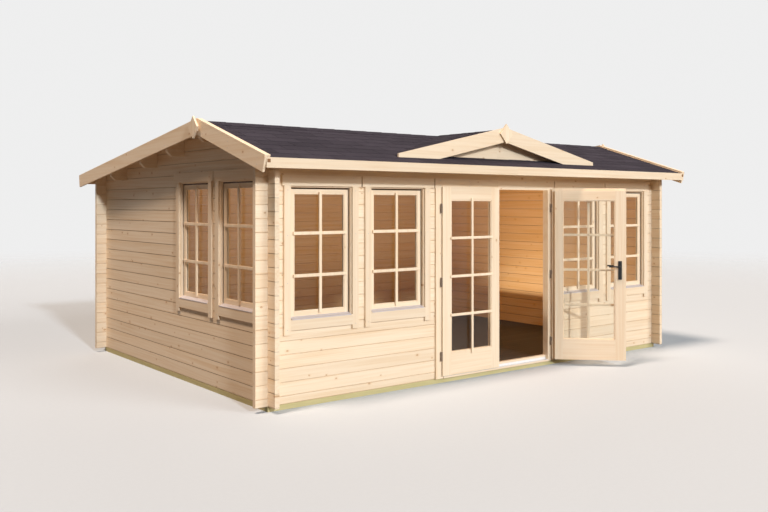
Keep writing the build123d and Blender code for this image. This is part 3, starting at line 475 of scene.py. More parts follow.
def stained_floor(roofing):
    """Dark stained boards with a tone of their own and the grain showing through"""
    f = new_finish("stained_floor")
    x, y, z = f.place()
    tone = f.add("ShaderNodeAttribute", {"attribute_name": TONE}, {}, "Fac")
    first, second, _ = f.randoms(tone)
    grain = f.noise(f.vector(x * 2.2 + second * 30.0, y * 60.0, z * 60.0), 1.0, 3.0)
    pore = f.noise(f.vector(x * 9.0, y * 300.0, z * 300.0), 1.0, 2.0)
    light = 0.62 + first * 0.5 + grain * 0.5
    colour = f.mix(grain, roofing.floor_stain, [channel * 1.7 for channel in roofing.floor_stain])
    return f.surface({"Base Color": f.shade(colour, light), "Roughness": 0.52 + grain * 0.2,
                      "Specular IOR Level": 0.25}, grain * 0.7 + pore * 0.3, 0.0006)


def end_grain_painted_shade(timber):
    """The sawn end of a batten, with its rings in arcs: dark brown, partly end grain and partly
    painted shade
    """
    f = new_finish("end_grain_painted_shade")
    x, y, z = f.place()
    ring = (((x * x + z * z) ** 0.5) * (2.0 * math.pi / timber.ring_width)).sine() * 0.5 + 0.5
    grit = f.noise(f.vector(x, y, z), 300.0, 2.0)
    # Partly the end grain's own brown, partly painted shade
    colour = f.mix(ring * 0.5 + grit * 0.3, (0.16, 0.085, 0.038), timber.knot)
    return f.surface({"Base Color": colour, "Roughness": 0.7 + grit * 0.1}, grit, 0.0005)


def treated_timber(timber):
    """Green impregnated bearers"""
    f = new_finish("treated_timber")
    x, y, z = f.place()
    grain = f.noise(f.vector(x * 4.0, y * 4.0, z * 60.0), 1.0, 3.0)
    patch = f.noise(f.vector(x, y, z), 6.0, 2.0)
    colour = f.mix(grain * 0.6 + patch * 0.3, timber.treated, (0.40, 0.37, 0.16))
    return f.surface({"Base Color": colour, "Roughness": 0.6 + grain * 0.2}, grain, 0.0008)


def felt(roofing, name, numbered):
    """Mineral felt: a tone for each tab, and granules"""
    f = new_finish(name)
    x, y, z = f.place()
    at = f.vector(x, y, z)
    grit = f.noise(at, 420.0, 2.0)
    patch = f.noise(at, 3.0, 2.0)
    light = 0.62 + grit * 0.5 + patch * 0.26
    if numbered:
        number = f.add("ShaderNodeAttribute", {"attribute_name": TONE}, {}, "Fac")
        light = light * (0.80 + f.randoms(number)[0] * 0.42)
    base = f.mix(patch, roofing.felt, [channel * 1.1 for channel in roofing.felt])
    return f.surface({"Base Color": f.shade(base, light), "Roughness": 0.92,
                      "Specular IOR Level": 0.08}, grit, 0.0012)


def clear_glass(name, tint, mirror):
    """A thin pane: clear, with a mirror that grows towards the edge of sight"""
    f = new_finish(name)
    x, y, z = f.place()
    haze = f.noise(f.vector(x, y, z), 5.0, 2.0)
    clear = f.add("ShaderNodeBsdfTransparent", {}, {"Color": f.colour(tint)})
    gloss = f.add("ShaderNodeBsdfGlossy", {},
                  {"Color": (1.0, 1.0, 1.0, 1.0), "Roughness": 0.01})
    slant = f.add("ShaderNodeLayerWeight", {}, {"Blend": 0.5}, "Facing")
    share = slant ** 5.0 * 0.30 + haze * 0.012 + mirror
    mixed = f.add("ShaderNodeMixShader", {}, {0: share, 1: clear, 2: gloss})
    return f.output(mixed)


def metal(name, colour, roughness, metallic, grain=90.0, relief=0.0003):
    """Coated or bare metal with a fine grain and rubbed patches"""
    f = new_finish(name)
    x, y, z = f.place()
    at = f.vector(x, y, z)
    fine = f.noise(at, grain * 8.0, 2.0)
    wide = f.noise(at, grain / 3.0, 2.0)
    base = f.mix(wide * 0.6, colour, [channel * 0.78 for channel in colour])
    return f.surface({"Base Color": base, "Roughness": roughness - 0.08 + wide * 0.16,
                      "Metallic": metallic}, fine, relief)


def material(name, make, *values, **settings):
    """The material of that name, made the first time it is asked for"""
    found = bpy.data.materials.get(name)
    return found if found else make(*values, **settings)


def dress(node, finish):
    """Give a node of the frame its material"""
    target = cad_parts[node]
    if not target.data.materials:
        target.data.materials.append(finish)
    for slot in target.material_slots:
        slot.material = finish


# Shapes

def new_pieces():
    """An empty mesh whose pieces carry a number each"""
    bm = bmesh.new()
    bm.verts.layers.float.new(TONE)
    return bm


def block(bm, low, high, edge=0.0, segments=1, tone=0.0, place=None):
    """A block between two corners, with its edges eased, then put in its place"""
    low, high = Vector(low), Vector(high)
    size = Matrix.Diagonal((*(high - low), 1.0))
    verts = bmesh.ops.create_cube(
        bm, size=1.0, matrix=Matrix.Translation((low + high) / 2) @ size)["verts"]
    if edge:
        edges = list({e for v in verts for e in v.link_edges})
        made = bmesh.ops.bevel(bm, geom=edges, offset=edge, offset_type="OFFSET",
                               segments=segments, profile=0.5, affect="EDGES", material=-1,
                               clamp_overlap=True)
        verts = list({v for v in verts if v.is_valid} | set(made["verts"]))
    number(bm, verts, tone)
    if place is not None:
        bmesh.ops.transform(bm, matrix=place, verts=verts)
    return verts


def number(bm, verts, tone):
    layer = bm.verts.layers.float[TONE]
    for v in verts:
        v[layer] = tone


def rod(bm, start, end, radius, sides=12, edge=0.0, tone=0.0):
    """A round bar between two points, with its rims eased"""
    start, end = Vector(start), Vector(end)
    line = end - start
    turn = line.to_track_quat("Z", "Y").to_matrix().to_4x4()
    verts = bmesh.ops.create_cone(
        bm, cap_ends=True, segments=sides, radius1=radius, radius2=radius, depth=line.length,
        matrix=Matrix.Translation((start + end) / 2) @ turn)["verts"]
    if edge:
        rims = [e for e in {e for v in verts for e in v.link_edges}
                if any(len(f.verts) > 4 for f in e.link_faces)]
        made = bmesh.ops.bevel(bm, geom=rims, offset=edge, offset_type="OFFSET", segments=2,
                               profile=0.5, affect="EDGES", material=-1, clamp_overlap=True)
        verts = list({v for v in verts if v.is_valid} | set(made["verts"]))
    number(bm, verts, tone)
    return verts


def finish_piece(bm, name, body, surface, stands_for=(), smooth=False):
    """Turn a mesh into a piece that rides on a body"""
    mesh = bpy.data.meshes.new(name)
    bm.to_mesh(mesh)
    bm.free()
    if smooth:
        mesh.shade_smooth()
        mesh.set_sharp_from_angle(angle=math.radians(35.0))
    piece = bpy.data.objects.new(name, mesh)
    bpy.context.scene.collection.objects.link(piece)
    piece.data.materials.append(surface)
    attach(piece, body)
    if stands_for:
        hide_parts(*stands_for)
    return piece


def window_places():
    """Where each window's middle sits on its wall, with depth running inwards"""
    places = [Matrix.Translation((x, WALL_FRONT, 0.0)) for x in FRONT_WINDOWS]
    turn = Matrix.Rotation(math.radians(-90.0), 4, "Z")
    places += [Matrix.Translation((WALL_LEFT, y, SIDE_RISE)) @ turn for y in LEFT_WINDOWS]
    return places


def leaf_places():
    """Where the closed right leaf's shapes go, for each body"""
    swing = (Matrix.Translation(PIN) @ Matrix.Rotation(LEAF_OPEN, 4, "Z")
             @ Matrix.Translation([-value for value in PIN]))
    return {"left_door": Matrix.Diagonal((-1.0, 1.0, 1.0, 1.0)), "right_door": swing}


def pitched(origin, turn, pitch):
    """A roof slope's place: Y runs up to the ridge, Z stands square on the boards"""
    return (Matrix.Translation(origin) @ Matrix.Rotation(turn, 4, "Z")
            @ Matrix.Rotation(pitch, 4, "X"))


def main_slopes():
    """Place and length of the front and the back slope"""
    origin = (0.0, RIDGE_Y, RIDGE_Z)
    return {"front": (pitched(origin, 0.0, FRONT_SLOPE), FRONT_RUN),
            "back": (pitched(origin, math.pi, BACK_SLOPE), BACK_RUN)}


# Operators

class CABIN_OT_stage(bpy.types.Operator):
    """Add the camera, the lamps and the pale floor"""
    bl_idname = "cabin.stage"
    bl_label = "Stage"

    def execute(self, context):
        scene = context.scene
        stage = scene.cabin_stage
        scene.view_settings.view_transform = "Standard"
        self.add_camera(scene, stage)
        self.add_lamps(scene, stage)
        self.add_world(scene, stage)
        self.add_floor(scene, stage)
        return {"FINISHED"}

    def add_camera(self, scene, stage):
        data = bpy.data.cameras.new("camera")
        data.lens = stage.lens
        data.sensor_width = 36.0
        data.shift_y = -0.0666
        camera = bpy.data.objects.new("camera", data)
        camera.location = (-6.206, -8.010, 1.706)
        camera.rotation_euler = (math.radians(90.0), 0.0, math.radians(-37.82))
        scene.collection.objects.link(camera)
        scene.camera = camera

    def add_lamps(self, scene, stage):
        self.add_sun(scene, "key", stage.key, 4.0, (0.87, 0.94, 1.0), 68.2, -9.3)
        self.add_sun(scene, "front", stage.front, 34.0, (1.0, 0.95, 0.90), 70.0, 24.0)
        self.add_sun(scene, "side", stage.side, 12.0, (1.0, 0.80, 0.65), 22.5, -83.0)
        self.add_sun(scene, "back", stage.back, 50.0, (1.0, 0.95, 0.90), 75.0, 140.0)
        data = bpy.data.lights.new("indoors", "AREA")
        data.energy = stage.indoors
        data.color = (1.0, 0.90, 0.76)
        data.shape = "RECTANGLE"
        data.size, data.size_y = 4.3, 2.4
        lamp = bpy.data.objects.new("indoors", data)
        lamp.location = (0.4, -0.5, 0.45)
        lamp.rotation_euler = (math.pi, 0.0, 0.0)
        lamp.visible_camera = False
        lamp.visible_glossy = False
        scene.collection.objects.link(lamp)

    def add_sun(self, scene, name, energy, angle, colour, tilt, turn):
        """A lamp so far away that its light is parallel, tilted from straight above"""
        data = bpy.data.lights.new(name, "SUN")
        data.energy = energy
        data.angle = math.radians(angle)
        data.color = colour
        lamp = bpy.data.objects.new(name, data)
        lamp.rotation_euler = (math.radians(tilt), 0.0, math.radians(turn))
        lamp.visible_glossy = False
        scene.collection.objects.link(lamp)

    def add_world(self, scene, stage):
        world = bpy.data.worlds.new("studio")
        scene.world = world
        f = Finish(world, "ShaderNodeOutputWorld")
        light = f.add("ShaderNodeBackground", {},
                      {"Color": (1.0, 0.86, 0.73, 1.0), "Strength": stage.fill})
        pale = f.add("ShaderNodeBackground", {}, {"Color": f.colour(stage.ground)})
        f.output(f.add("ShaderNodeMixShader", {}, {0: f.seen(), 1: light, 2: pale}))

    def add_floor(self, scene, stage):
        """A wide round floor that fades into what lies behind it"""
        bm = bmesh.new()
        bmesh.ops.create_circle(bm, cap_ends=True, segments=96, radius=60.0)
        mesh = bpy.data.meshes.new("floor")
        bm.to_mesh(mesh)
        bm.free()
        floor = bpy.data.objects.new("floor", mesh)
        scene.collection.objects.link(floor)
        f = new_finish("floor_paint")
        x, y, z = f.place()
        far = ((x * x + y * y) ** 0.5).smooth(9.0, 26.0)
        grain = f.noise(f.vector(x, y, z), 30.0, 2.0)
        pale = f.mix(grain, (0.60, 0.65, 0.70), (0.58, 0.63, 0.68))
        colour = f.mix(f.seen(), (0.14, 0.105, 0.08), pale)
        paint = f.add("ShaderNodeBsdfDiffuse", {}, {"Color": colour})
        clear = f.add("ShaderNodeBsdfTransparent", {}, {})
        floor.data.materials.append(
            f.output(f.add("ShaderNodeMixShader", {}, {0: far, 1: paint, 2: clear})))


class CABIN_OT_timber(bpy.types.Operator):
    """Give every wooden piece of the frame its spruce"""
    bl_idname = "cabin.timber"
    bl_label = "Timber finishes"

    def execute(self, context):
        timber = context.scene.cabin_timber
        logs_x = spruce("logs_along_x", logs_along_x, timber, 0.22, 1.0, 0.04, True)
        # The side walls' logs are painted a little darker than the front and back logs, with
        # heavier painted shade at their joints
        logs_y_painted_shade = spruce("logs_along_y", logs_along_y, timber, 0.22, 0.97, 0.40, True)
        boards_x = spruce("boards_along_x", boards_along_x, timber, 0.04, 0.92)
        # The dormer panel's boards are painted darker than the rest: painted shade under the
        # small gable's overhang
        lining_painted_shade = spruce("lining_boards_painted_shade", boards_along_x, timber, 0.12, 0.82)
        beams = spruce("beams_along_x", boards_along_x, timber, 0.12, 1.0, 0.0, True)
        boards_y = spruce("boards_along_y", boards_along_y, timber, 0.12)
        upright = spruce("upright_boards", upright_boards, timber, 0.12)
        finishes = {
            logs_x: ("front_wall_left", "front_wall_right", "front_wall_top", "back_wall"),
            logs_y_painted_shade: ("left_wall", "right_wall", "left_gable", "right_gable"),
            boards_x: ("eave_fascias", "dormer_bargeboards", "door_sill"),
            lining_painted_shade: ("dormer_panel",),
            beams: ("purlins",),
            boards_y: ("left_bargeboards", "right_bargeboards", "verge_cover_strips",
                       "verge_battens", "dormer_boards"),
            upright: ("gable_finials", "dormer_finial"),
            spruce("header_wood", headers, timber, 0.12): ("header_boards",),
            spruce("trim_wood", window_joinery(0.3171), timber, 0.08, 0.97): ("window_trims",),
            spruce("frame_wood", window_joinery(0.306), timber, 0.05): ("window_frames",),
            spruce("sash_wood", window_joinery(0.2621), timber, 0.04): ("window_sashes",),
            spruce("casing_wood", door_casing, timber, 0.06): ("door_frame",),
            spruce("left_leaf_wood", left_leaf, timber, 0.04, 0.98): ("left_door_leaf",),
            spruce("right_leaf_wood", right_leaf, timber, 0.04): ("right_door_leaf",),
            treated_timber(timber): ("bearers",),
        }
        for finish, nodes in finishes.items():
            for node in nodes:
                dress(node, finish)
        return {"FINISHED"}


class CABIN_OT_fittings(bpy.types.Operator):
    """Give panes, metal strips, hinges and handles their finishes"""
    bl_idname = "cabin.fittings"
    bl_label = "Glass and metal finishes"

    def execute(self, context):
        dress("window_glass", clear_glass("window_panes", (0.86, 0.87, 0.86), 0.014))
        panes = clear_glass("door_panes", (0.955, 0.96, 0.95), 0.018)
        for node in ("left_door_glass", "right_door_glass"):
            dress(node, panes)
        lilac = metal("drip_strip_coat", (0.68, 0.62, 0.62), 0.45, 0.1)
        dress("window_drip_strips", lilac)
        dress("door_sill_strip", metal("sill_coat", (0.86, 0.84, 0.83), 0.45, 0.1))
        dark = metal("dark_steel", (0.27, 0.20, 0.15), 0.42, 0.5)
        for node in ("frame_hinges", "left_leaf_hinges", "right_leaf_hinges"):
            dress(node, dark)
        black = metal("black_coat", (0.022, 0.023, 0.026), 0.42, 0.3)
        for node in ("door_lock_plates", "door_lever"):
            dress(node, black)
        shingle = felt(context.scene.cabin_roofing, "felt_layer", False)
        for node in ("shingles_front", "shingles_back", "dormer_shingles"):
            dress(node, shingle)
        return {"FINISHED"}


class CABIN_OT_window_bars(bpy.types.Operator):
    """Add the bars outside the six windows and the beads round their panes"""
    bl_idname = "cabin.window_bars"
    bl_label = "Window bars"

    def execute(self, context):
        glazing = context.scene.cabin_glazing
        timber = context.scene.cabin_timber
        half, lap = glazing.window_bar / 2, 0.011
        bars, beads = new_pieces(), new_pieces()
        for i, place in enumerate(window_places()):
            front = SASH_FACE - 0.016
            block(bars, (-half, front, PANE_LOW - 0.020), (half, SASH_FACE, PANE_HIGH + lap),
                  0.003, 2, i * 3.0, place)
            for k, z in enumerate(BAR_HEIGHTS):
                block(bars, (-PANE_HALF - lap, front + 0.0006, z - half),
                      (PANE_HALF + lap, SASH_FACE, z + half), 0.003, 2, i * 3.0 + k + 1, place)
            for near, far in ((0.0300, 0.0408), (0.0452, 0.0560)):
                self.add_beads(beads, glazing.bead, near, far, i, place)
        upright = spruce("bar_wood", own_boards(upright_boards), timber, 0.0, 1.02)
        finish_piece(bars, "window_bars", "cabin", upright)
        finish_piece(beads, "window_beads", "cabin", upright)
        return {"FINISHED"}

    def add_beads(self, bm, width, near, far, number, place):
        for hand in (-1, 1):
            a, b = sorted((hand * PANE_HALF, hand * (PANE_HALF - width)))
            block(bm, (a, near, PANE_LOW), (b, far, PANE_HIGH), 0.002, 1, number, place)
        for z0, z1 in ((PANE_LOW, PANE_LOW + width), (PANE_HIGH - width, PANE_HIGH)):
            block(bm, (-PANE_HALF + width, near, z0), (PANE_HALF - width, far, z1), 0.002, 1,
                  number + 0.5, place)


class CABIN_OT_seals(bpy.types.Operator):
    """Add dark strips between the sashes and their frames, partly weather seals and partly
    painted shadow of the gap, and strips of painted shade behind the header joints
    """
    bl_idname = "cabin.seals"
    bl_label = "Weather seals and painted shade"

    def execute(self, context):
        # Dark brown: the colour of rubber seals, and of painted shadow in the gaps
        seal_and_shade_finish = metal("seal_and_shade_dark", (0.060, 0.032, 0.017), 0.75, 0.0)
        half, top, low = SASH_HALF, SASH_TOP, 0.738
        bm = new_pieces()
        for place in window_places():
            block(bm, (-half + 0.001, SASH_FACE - 0.0025, top - 0.0125),
                  (half - 0.001, SASH_FACE, top - 0.0005), 0.0008, 1, 0.0, place)
            for a, b in ((-half + 0.001, -half + 0.006), (half - 0.006, half - 0.001)):
                block(bm, (a, SASH_FACE - 0.0025, low), (b, SASH_FACE, top - 0.0130),
                      0.0008, 1, 0.0, place)
        finish_piece(bm, "window_seals_painted_shadow", "cabin", seal_and_shade_finish)
        bm = new_pieces()
        # Dark strips of painted shade behind the joints of the header boards
        for x in HEADER_JOINTS:
            self.painted_joint_shadow(bm, Matrix.Translation((x, WALL_FRONT, 0.0)))
        turn = Matrix.Rotation(math.radians(-90.0), 4, "Z")
        between = sum(LEFT_WINDOWS) / 2
        self.painted_joint_shadow(bm, Matrix.Translation((WALL_LEFT, between, SIDE_RISE)) @ turn)
        finish_piece(bm, "header_joint_painted_shade", "cabin", seal_and_shade_finish)
        return {"FINISHED"}

    def painted_joint_shadow(self, bm, place):
        """A dark strip on the wall, seen through the joint of two header boards: painted shade of
        the gap
        """
        block(bm, (-0.0055, -0.005, HEADER_LOW + 0.001), (0.0055, -0.0002, HEADER_HIGH - 0.001),
              0.0006, 1, 0.0, place)


class CABIN_OT_door_bars(bpy.types.Operator):
    """Add the bars outside both door leaves and the beads round their panes"""
    bl_idname = "cabin.door_bars"
    bl_label = "Door bars"

    def execute(self, context):
        glazing = context.scene.cabin_glazing
        wood = material("bar_wood", spruce)
        x0, x1, z0, z1 = LEAF_GLASS
        half, lap, width = glazing.door_bar / 2, 0.012, glazing.bead
        front = LEAF_FACE_Y - 0.013
        for body, place in leaf_places().items():
            bars, beads = new_pieces(), new_pieces()
            block(bars, (LEAF_MIDDLE - half, front, z0 - 0.028),
                  (LEAF_MIDDLE + half, LEAF_FACE_Y, z1 + 0.020), 0.003, 2, 41.0, place)
            for k, z in enumerate((0.6455, 1.017, 1.386)):
                block(bars, (x0 - lap, front + 0.0006, z - half),
                      (x1 + lap, LEAF_FACE_Y, z + half), 0.003, 2, 42.0 + k, place)
            middle = (LEAF_FACE_Y + LEAF_BACK_Y) / 2
            for near, far in ((LEAF_FACE_Y + 0.003, middle - 0.0022),
                              (middle + 0.0022, LEAF_BACK_Y - 0.003)):
                for a, b in ((x0, x0 + width), (x1 - width, x1)):
                    block(beads, (a, near, z0), (b, far, z1), 0.002, 1, a * 9.0, place)
                for a, b in ((z0, z0 + width), (z1 - width, z1)):
                    block(beads, (x0 + width, near, a), (x1 - width, far, b), 0.002, 1,
                          a * 7.0, place)
            for bm in (bars, beads):
                bmesh.ops.recalc_face_normals(bm, faces=bm.faces)
            finish_piece(bars, body + "_bars", body, wood)
            finish_piece(beads, body + "_beads", body, wood)
        return {"FINISHED"}


class CABIN_OT_boards(bpy.types.Operator):
    """Lay the roof boards and the floor boards one by one"""
    bl_idname = "cabin.boards"
    bl_label = "Roof and floor boards"

    def execute(self, context):
        roofing = context.scene.cabin_roofing
        timber = context.scene.cabin_timber
        chance = random.Random(11)
        wood = spruce("roof_board_wood", own_boards(boards_along_y), timber, 0.2, 0.98, 0.0, True)
        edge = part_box("roof_boards_front")[1][0]
        count = round(2 * edge / roofing.board_width)
        step = 2 * edge / count
        for name, (place, run) in main_slopes().items():
            bm = new_pieces()
            for i in range(count):
                x = -edge + i * step
                block(bm, (x + 0.0004, -run, 0.0), (x + step - 0.0004, -0.0002, DECK_THICKNESS),
                      0.0022, 1, chance.uniform(0.0, 60.0), place)
            finish_piece(bm, "roof_boards_laid_" + name, "cabin", wood,
                         ("roof_boards_" + name,))
        self.lay_floor(roofing, timber, chance)
        return {"FINISHED"}

    def lay_floor(self, roofing, timber, chance):
        low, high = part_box("floor_boards")
        count = round((high[1] - low[1]) / roofing.floor_board)
        step = (high[1] - low[1]) / count
        bm = new_pieces()
        for i in range(count):
            y = low[1] + i * step
            joint = chance.uniform(-1.6, 1.6)
            for a, b in ((low[0], joint - 0.0004), (joint + 0.0004, high[0])):
                block(bm, (a, y + 0.0004, low[2]), (b, y + step - 0.0004, high[2]), 0.0016, 1,
                      chance.uniform(0.0, 60.0))
        wood = stained_floor(roofing)
        finish_piece(bm, "floor_boards_laid", "cabin", wood, ("floor_boards",))


class CABIN_OT_shingles(bpy.types.Operator):
    """Lay felt tabs on both slopes and on the small gable, and the ridge pieces"""
    bl_idname = "cabin.shingles"
    bl_label = "Shingles"

    def execute(self, context):
        roofing = context.scene.cabin_roofing
        chance = random.Random(5)
        surface = felt(roofing, "felt_tabs", True)
        for name, (place, run) in main_slopes().items():
            bm = new_pieces()
            self.lay_courses(bm, place, roofing, SHINGLE_EDGE, run - 0.002, 0.10,
                             SHINGLE_TOP, chance)
            finish_piece(bm, "shingle_tabs_" + name, "cabin", surface)
        self.lay_dormer(roofing, surface, chance)
        self.lay_ridge(roofing, surface, chance)
        return {"FINISHED"}

    def lay_courses(self, bm, place, roofing, half, bottom, top, rise, chance):
        """Courses from the eave up, every second one moved by half a tab"""
        count = max(1, round(2 * half / roofing.tab_width))
        width = 2 * half / count
        thick, lap = 0.0026, 0.030
        row = 0
        lower = bottom
        while lower > top:
            length = min(roofing.exposure + lap, lower - 0.004)
            tilt = Matrix.Rotation(math.asin(-thick / length), 4, "X")
            seat = place @ Matrix.Translation((0.0, -lower, rise + thick)) @ tilt
            start = -half - width / 2 * (row % 2)
            for k in range(count + row % 2):
                a = max(-half, start + k * width) + 0.0022
                b = min(half, start + (k + 1) * width) - 0.0022
                sag = chance.uniform(-0.0015, 0.0015)
                block(bm, (a, sag, 0.0), (b, length, thick), 0.0007, 1,
                      chance.uniform(0.0, 80.0), seat)
            row += 1
            lower -= roofing.exposure

    def lay_dormer(self, roofing, surface, chance):
        low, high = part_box("dormer_shingles")
        origin = (DORMER_MIDDLE, (low[1] + high[1]) / 2, high[2])
        half = (high[1] - low[1]) / 2
        bm = new_pieces()
        for turn in (math.pi / 2, -math.pi / 2):
            self.lay_courses(bm, pitched(origin, turn, DORMER_SLOPE), roofing, half,
                             DORMER_HALF / math.cos(DORMER_SLOPE), 0.08, 0.0, chance)
        normal = Vector((0.0, -math.sin(FRONT_SLOPE), math.cos(FRONT_SLOPE)))
        point = Vector((0.0, RIDGE_Y, RIDGE_Z)) + normal * (SHINGLE_TOP + 0.0004)
        cut = bmesh.ops.bisect_plane(bm, geom=bm.verts[:] + bm.edges[:] + bm.faces[:],
                                     plane_co=point, plane_no=normal, clear_inner=True)
        edges = [e for e in cut["geom_cut"] if isinstance(e, bmesh.types.BMEdge)]
        bmesh.ops.holes_fill(bm, edges=edges, sides=0)
        finish_piece(bm, "shingle_tabs_dormer", "cabin", surface)

    def lay_ridge(self, roofing, surface, chance):
        """Bent felt pieces over the main ridge and along the small gable's ridge"""
        wing = 0.125
        rise = SHINGLE_TOP + 0.0056
        front = main_slopes()["front"][0]
        back = main_slopes()["back"][0]
        section = [front @ Vector((0.0, -wing, rise)), front @ Vector((0.0, -0.012, rise)),
                   Vector((0.0, RIDGE_Y, RIDGE_Z + rise + 0.0012)),
                   back @ Vector((0.0, -0.012, rise)), back @ Vector((0.0, -wing, rise))]
        bm = new_pieces()
        count = round(2 * SHINGLE_EDGE / 0.20)
        step = 2 * SHINGLE_EDGE / count
        for i in range(count):
            start = -SHINGLE_EDGE + i * step
            length = min(step + 0.03, SHINGLE_EDGE - start)
            self.bend(bm, section, Vector((start, 0.0, 0.0)), Vector((length, 0.0, 0.0)),
                      0.0026, chance.uniform(0.0, 80.0))
        finish_piece(bm, "ridge_pieces", "cabin", surface, ("ridge_cap",))
        low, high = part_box("dormer_shingles")
        drop = 0.10 * math.tan(DORMER_SLOPE)
        top = high[2] + 0.0052
        section = [Vector((0.10, 0.0, top - drop)), Vector((0.01, 0.0, top - 0.0022)),
                   Vector((0.0, 0.0, top)), Vector((-0.01, 0.0, top - 0.0022)),
                   Vector((-0.10, 0.0, top - drop))]
        bm = new_pieces()
        start = low[1] + 0.001
        count = 5
        step = (RIDGE_Y - wing * 0.3 - start) / count
        for i in range(count):
            self.bend(bm, section, Vector((DORMER_MIDDLE, start + i * step, 0.0)),
                      Vector((0.0, step + 0.03 * (i < count - 1), 0.0)),
                      0.0026, chance.uniform(0.0, 80.0))
        finish_piece(bm, "dormer_ridge_pieces", "cabin", surface)

    def bend(self, bm, section, start, run, thick, tone):
        """One piece bent over the ridge, its first end lying on the piece before"""
        points = [bm.verts.new(point + start) for point in section]
        edges = [bm.edges.new(pair) for pair in zip(points, points[1:])]
        made = bmesh.ops.extrude_edge_only(bm, edges=edges)["geom"]
        far = [v for v in made if isinstance(v, bmesh.types.BMVert)]
        faces = [face for face in made if isinstance(face, bmesh.types.BMFace)]
        bmesh.ops.translate(bm, vec=run + Vector((0.0, 0.0, thick)), verts=far)
        bmesh.ops.recalc_face_normals(bm, faces=faces)
        solid = bmesh.ops.solidify(bm, geom=faces, thickness=thick)["geom"]
        verts = {v for v in solid if isinstance(v, bmesh.types.BMVert)} | set(points) | set(far)
        number(bm, verts, tone)


class CABIN_OT_lock_parts(bpy.types.Operator):
    """Add key cylinders, latch and face plates to the doors"""
    bl_idname = "cabin.lock_parts"
    bl_label = "Lock parts"

    def execute(self, context):
        steel = metal("brushed_steel", (0.55, 0.55, 0.56), 0.32, 1.0)
        black = material("black_coat", metal)
        swing = leaf_places()["right_door"]
        bm = new_pieces()
        z = LEVER_Z - 0.085
        for face, side in ((LEAF_FACE_Y - 0.0083, -1), (LEAF_BACK_Y + 0.0083, 1)):
            rod(bm, (PLATE_X, face, z), (PLATE_X, face + side * 0.004, z), 0.0085, 20, 0.0008)
            block(bm, *self.corners(PLATE_X - 0.005, PLATE_X + 0.005, face,
                                    face + side * 0.004, z - 0.024, z - 0.006), 0.001)
            block(bm, *self.corners(PLATE_X - 0.001, PLATE_X + 0.001, face + side * 0.0035,
                                    face + side * 0.0046, z - 0.005, z + 0.005))
        bmesh.ops.transform(bm, matrix=swing, verts=bm.verts)
        finish_piece(bm, "key_cylinders", "right_door", black, smooth=True)
        bm = new_pieces()
        middle = (LEAF_FACE_Y + LEAF_BACK_Y) / 2 + 0.006
        block(bm, (0.0024, middle - 0.010, 0.915), (0.0042, middle + 0.010, 1.150), 0.0006)
        block(bm, (-0.0022, middle - 0.006, LEVER_Z - 0.011), (0.003, middle + 0.006,
                                                              LEVER_Z + 0.011), 0.0015, 2)
        bmesh.ops.transform(bm, matrix=swing, verts=bm.verts)
        finish_piece(bm, "lock_parts", "right_door", steel, smooth=True)
        bm = new_pieces()
        block(bm, (-0.0042, middle - 0.010, 0.940), (-0.0030, middle + 0.010, 1.130), 0.0004)
        finish_piece(bm, "strike_plate", "left_door", steel)
        return {"FINISHED"}

    def corners(self, x0, x1, y0, y1, z0, z1):
        y0, y1 = sorted((y0, y1))
        return (x0, y0, z0), (x1, y1, z1)


class CABIN_OT_cover_strips(bpy.types.Operator):
    """Add the cover strips of the bargeboards, flush with their faces"""
    bl_idname = "cabin.cover_strips"
    bl_label = "Cover strips"

    def execute(self, context):
        low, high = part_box("verge_cover_strips")
        outer, width, base, top = VERGE_FACE, 0.053, 0.0315, 0.0495
        bm = new_pieces()
        for i, (place, tip) in enumerate(((main_slopes()["front"][0], low[1]),
                                          (main_slopes()["back"][0], high[1]))):
            slope = (FRONT_SLOPE, BACK_SLOPE)[i]
            run = (abs(tip - RIDGE_Y) - top * math.sin(slope)) / math.cos(slope)
            for hand in (-1, 1):
                a, b = sorted((hand * outer, hand * (outer - width)))
                block(bm, (a, -run, base), (b, 0.03, top), 0.0012, 1, i * 3.0 + hand, place)
                self.mitre(bm, (-1.0, 1.0)[i])
        finish_piece(bm, "verge_strips", "cabin",
                     material("boards_along_y", spruce), ("verge_cover_strips",))
        return {"FINISHED"}

    def mitre(self, bm, side):
        """Cut what reaches past the ridge, of the strips on one slope"""
        there = [f for f in bm.faces if (f.calc_center_median().y - RIDGE_Y) * side > 0.02
                 or abs(f.calc_center_median().y - RIDGE_Y) < 0.035]
        parts = list({v for f in there for v in f.verts} | {e for f in there for e in f.edges}
                     | set(there))
        cut = bmesh.ops.bisect_plane(bm, geom=parts, plane_co=(0.0, RIDGE_Y, 0.0),
                                     plane_no=(0.0, side, 0.0), clear_inner=True)
        edges = [e for e in cut["geom_cut"] if isinstance(e, bmesh.types.BMEdge)]
        bmesh.ops.holes_fill(bm, edges=edges, sides=0)


class CABIN_OT_batten_ends(bpy.types.Operator):
    """Add thin dark plates for the ends of the verge battens, level with the front fascia: end
    grain and painted shade of the recess there
    """
    bl_idname = "cabin.batten_ends"
    bl_label = "Batten ends, painted shade"

    def execute(self, context):
        wood = end_grain_painted_shade(context.scene.cabin_timber)
        bm = new_pieces()
        for hand in (-1, 1):
            x = hand * 2.816
            block(bm, (x - 0.015, -2.1741, 2.040), (x + 0.015, -2.1731, 2.068), 0.0004, 1, hand)
        finish_piece(bm, "verge_batten_ends_painted_shade", "cabin", wood)
        return {"FINISHED"}


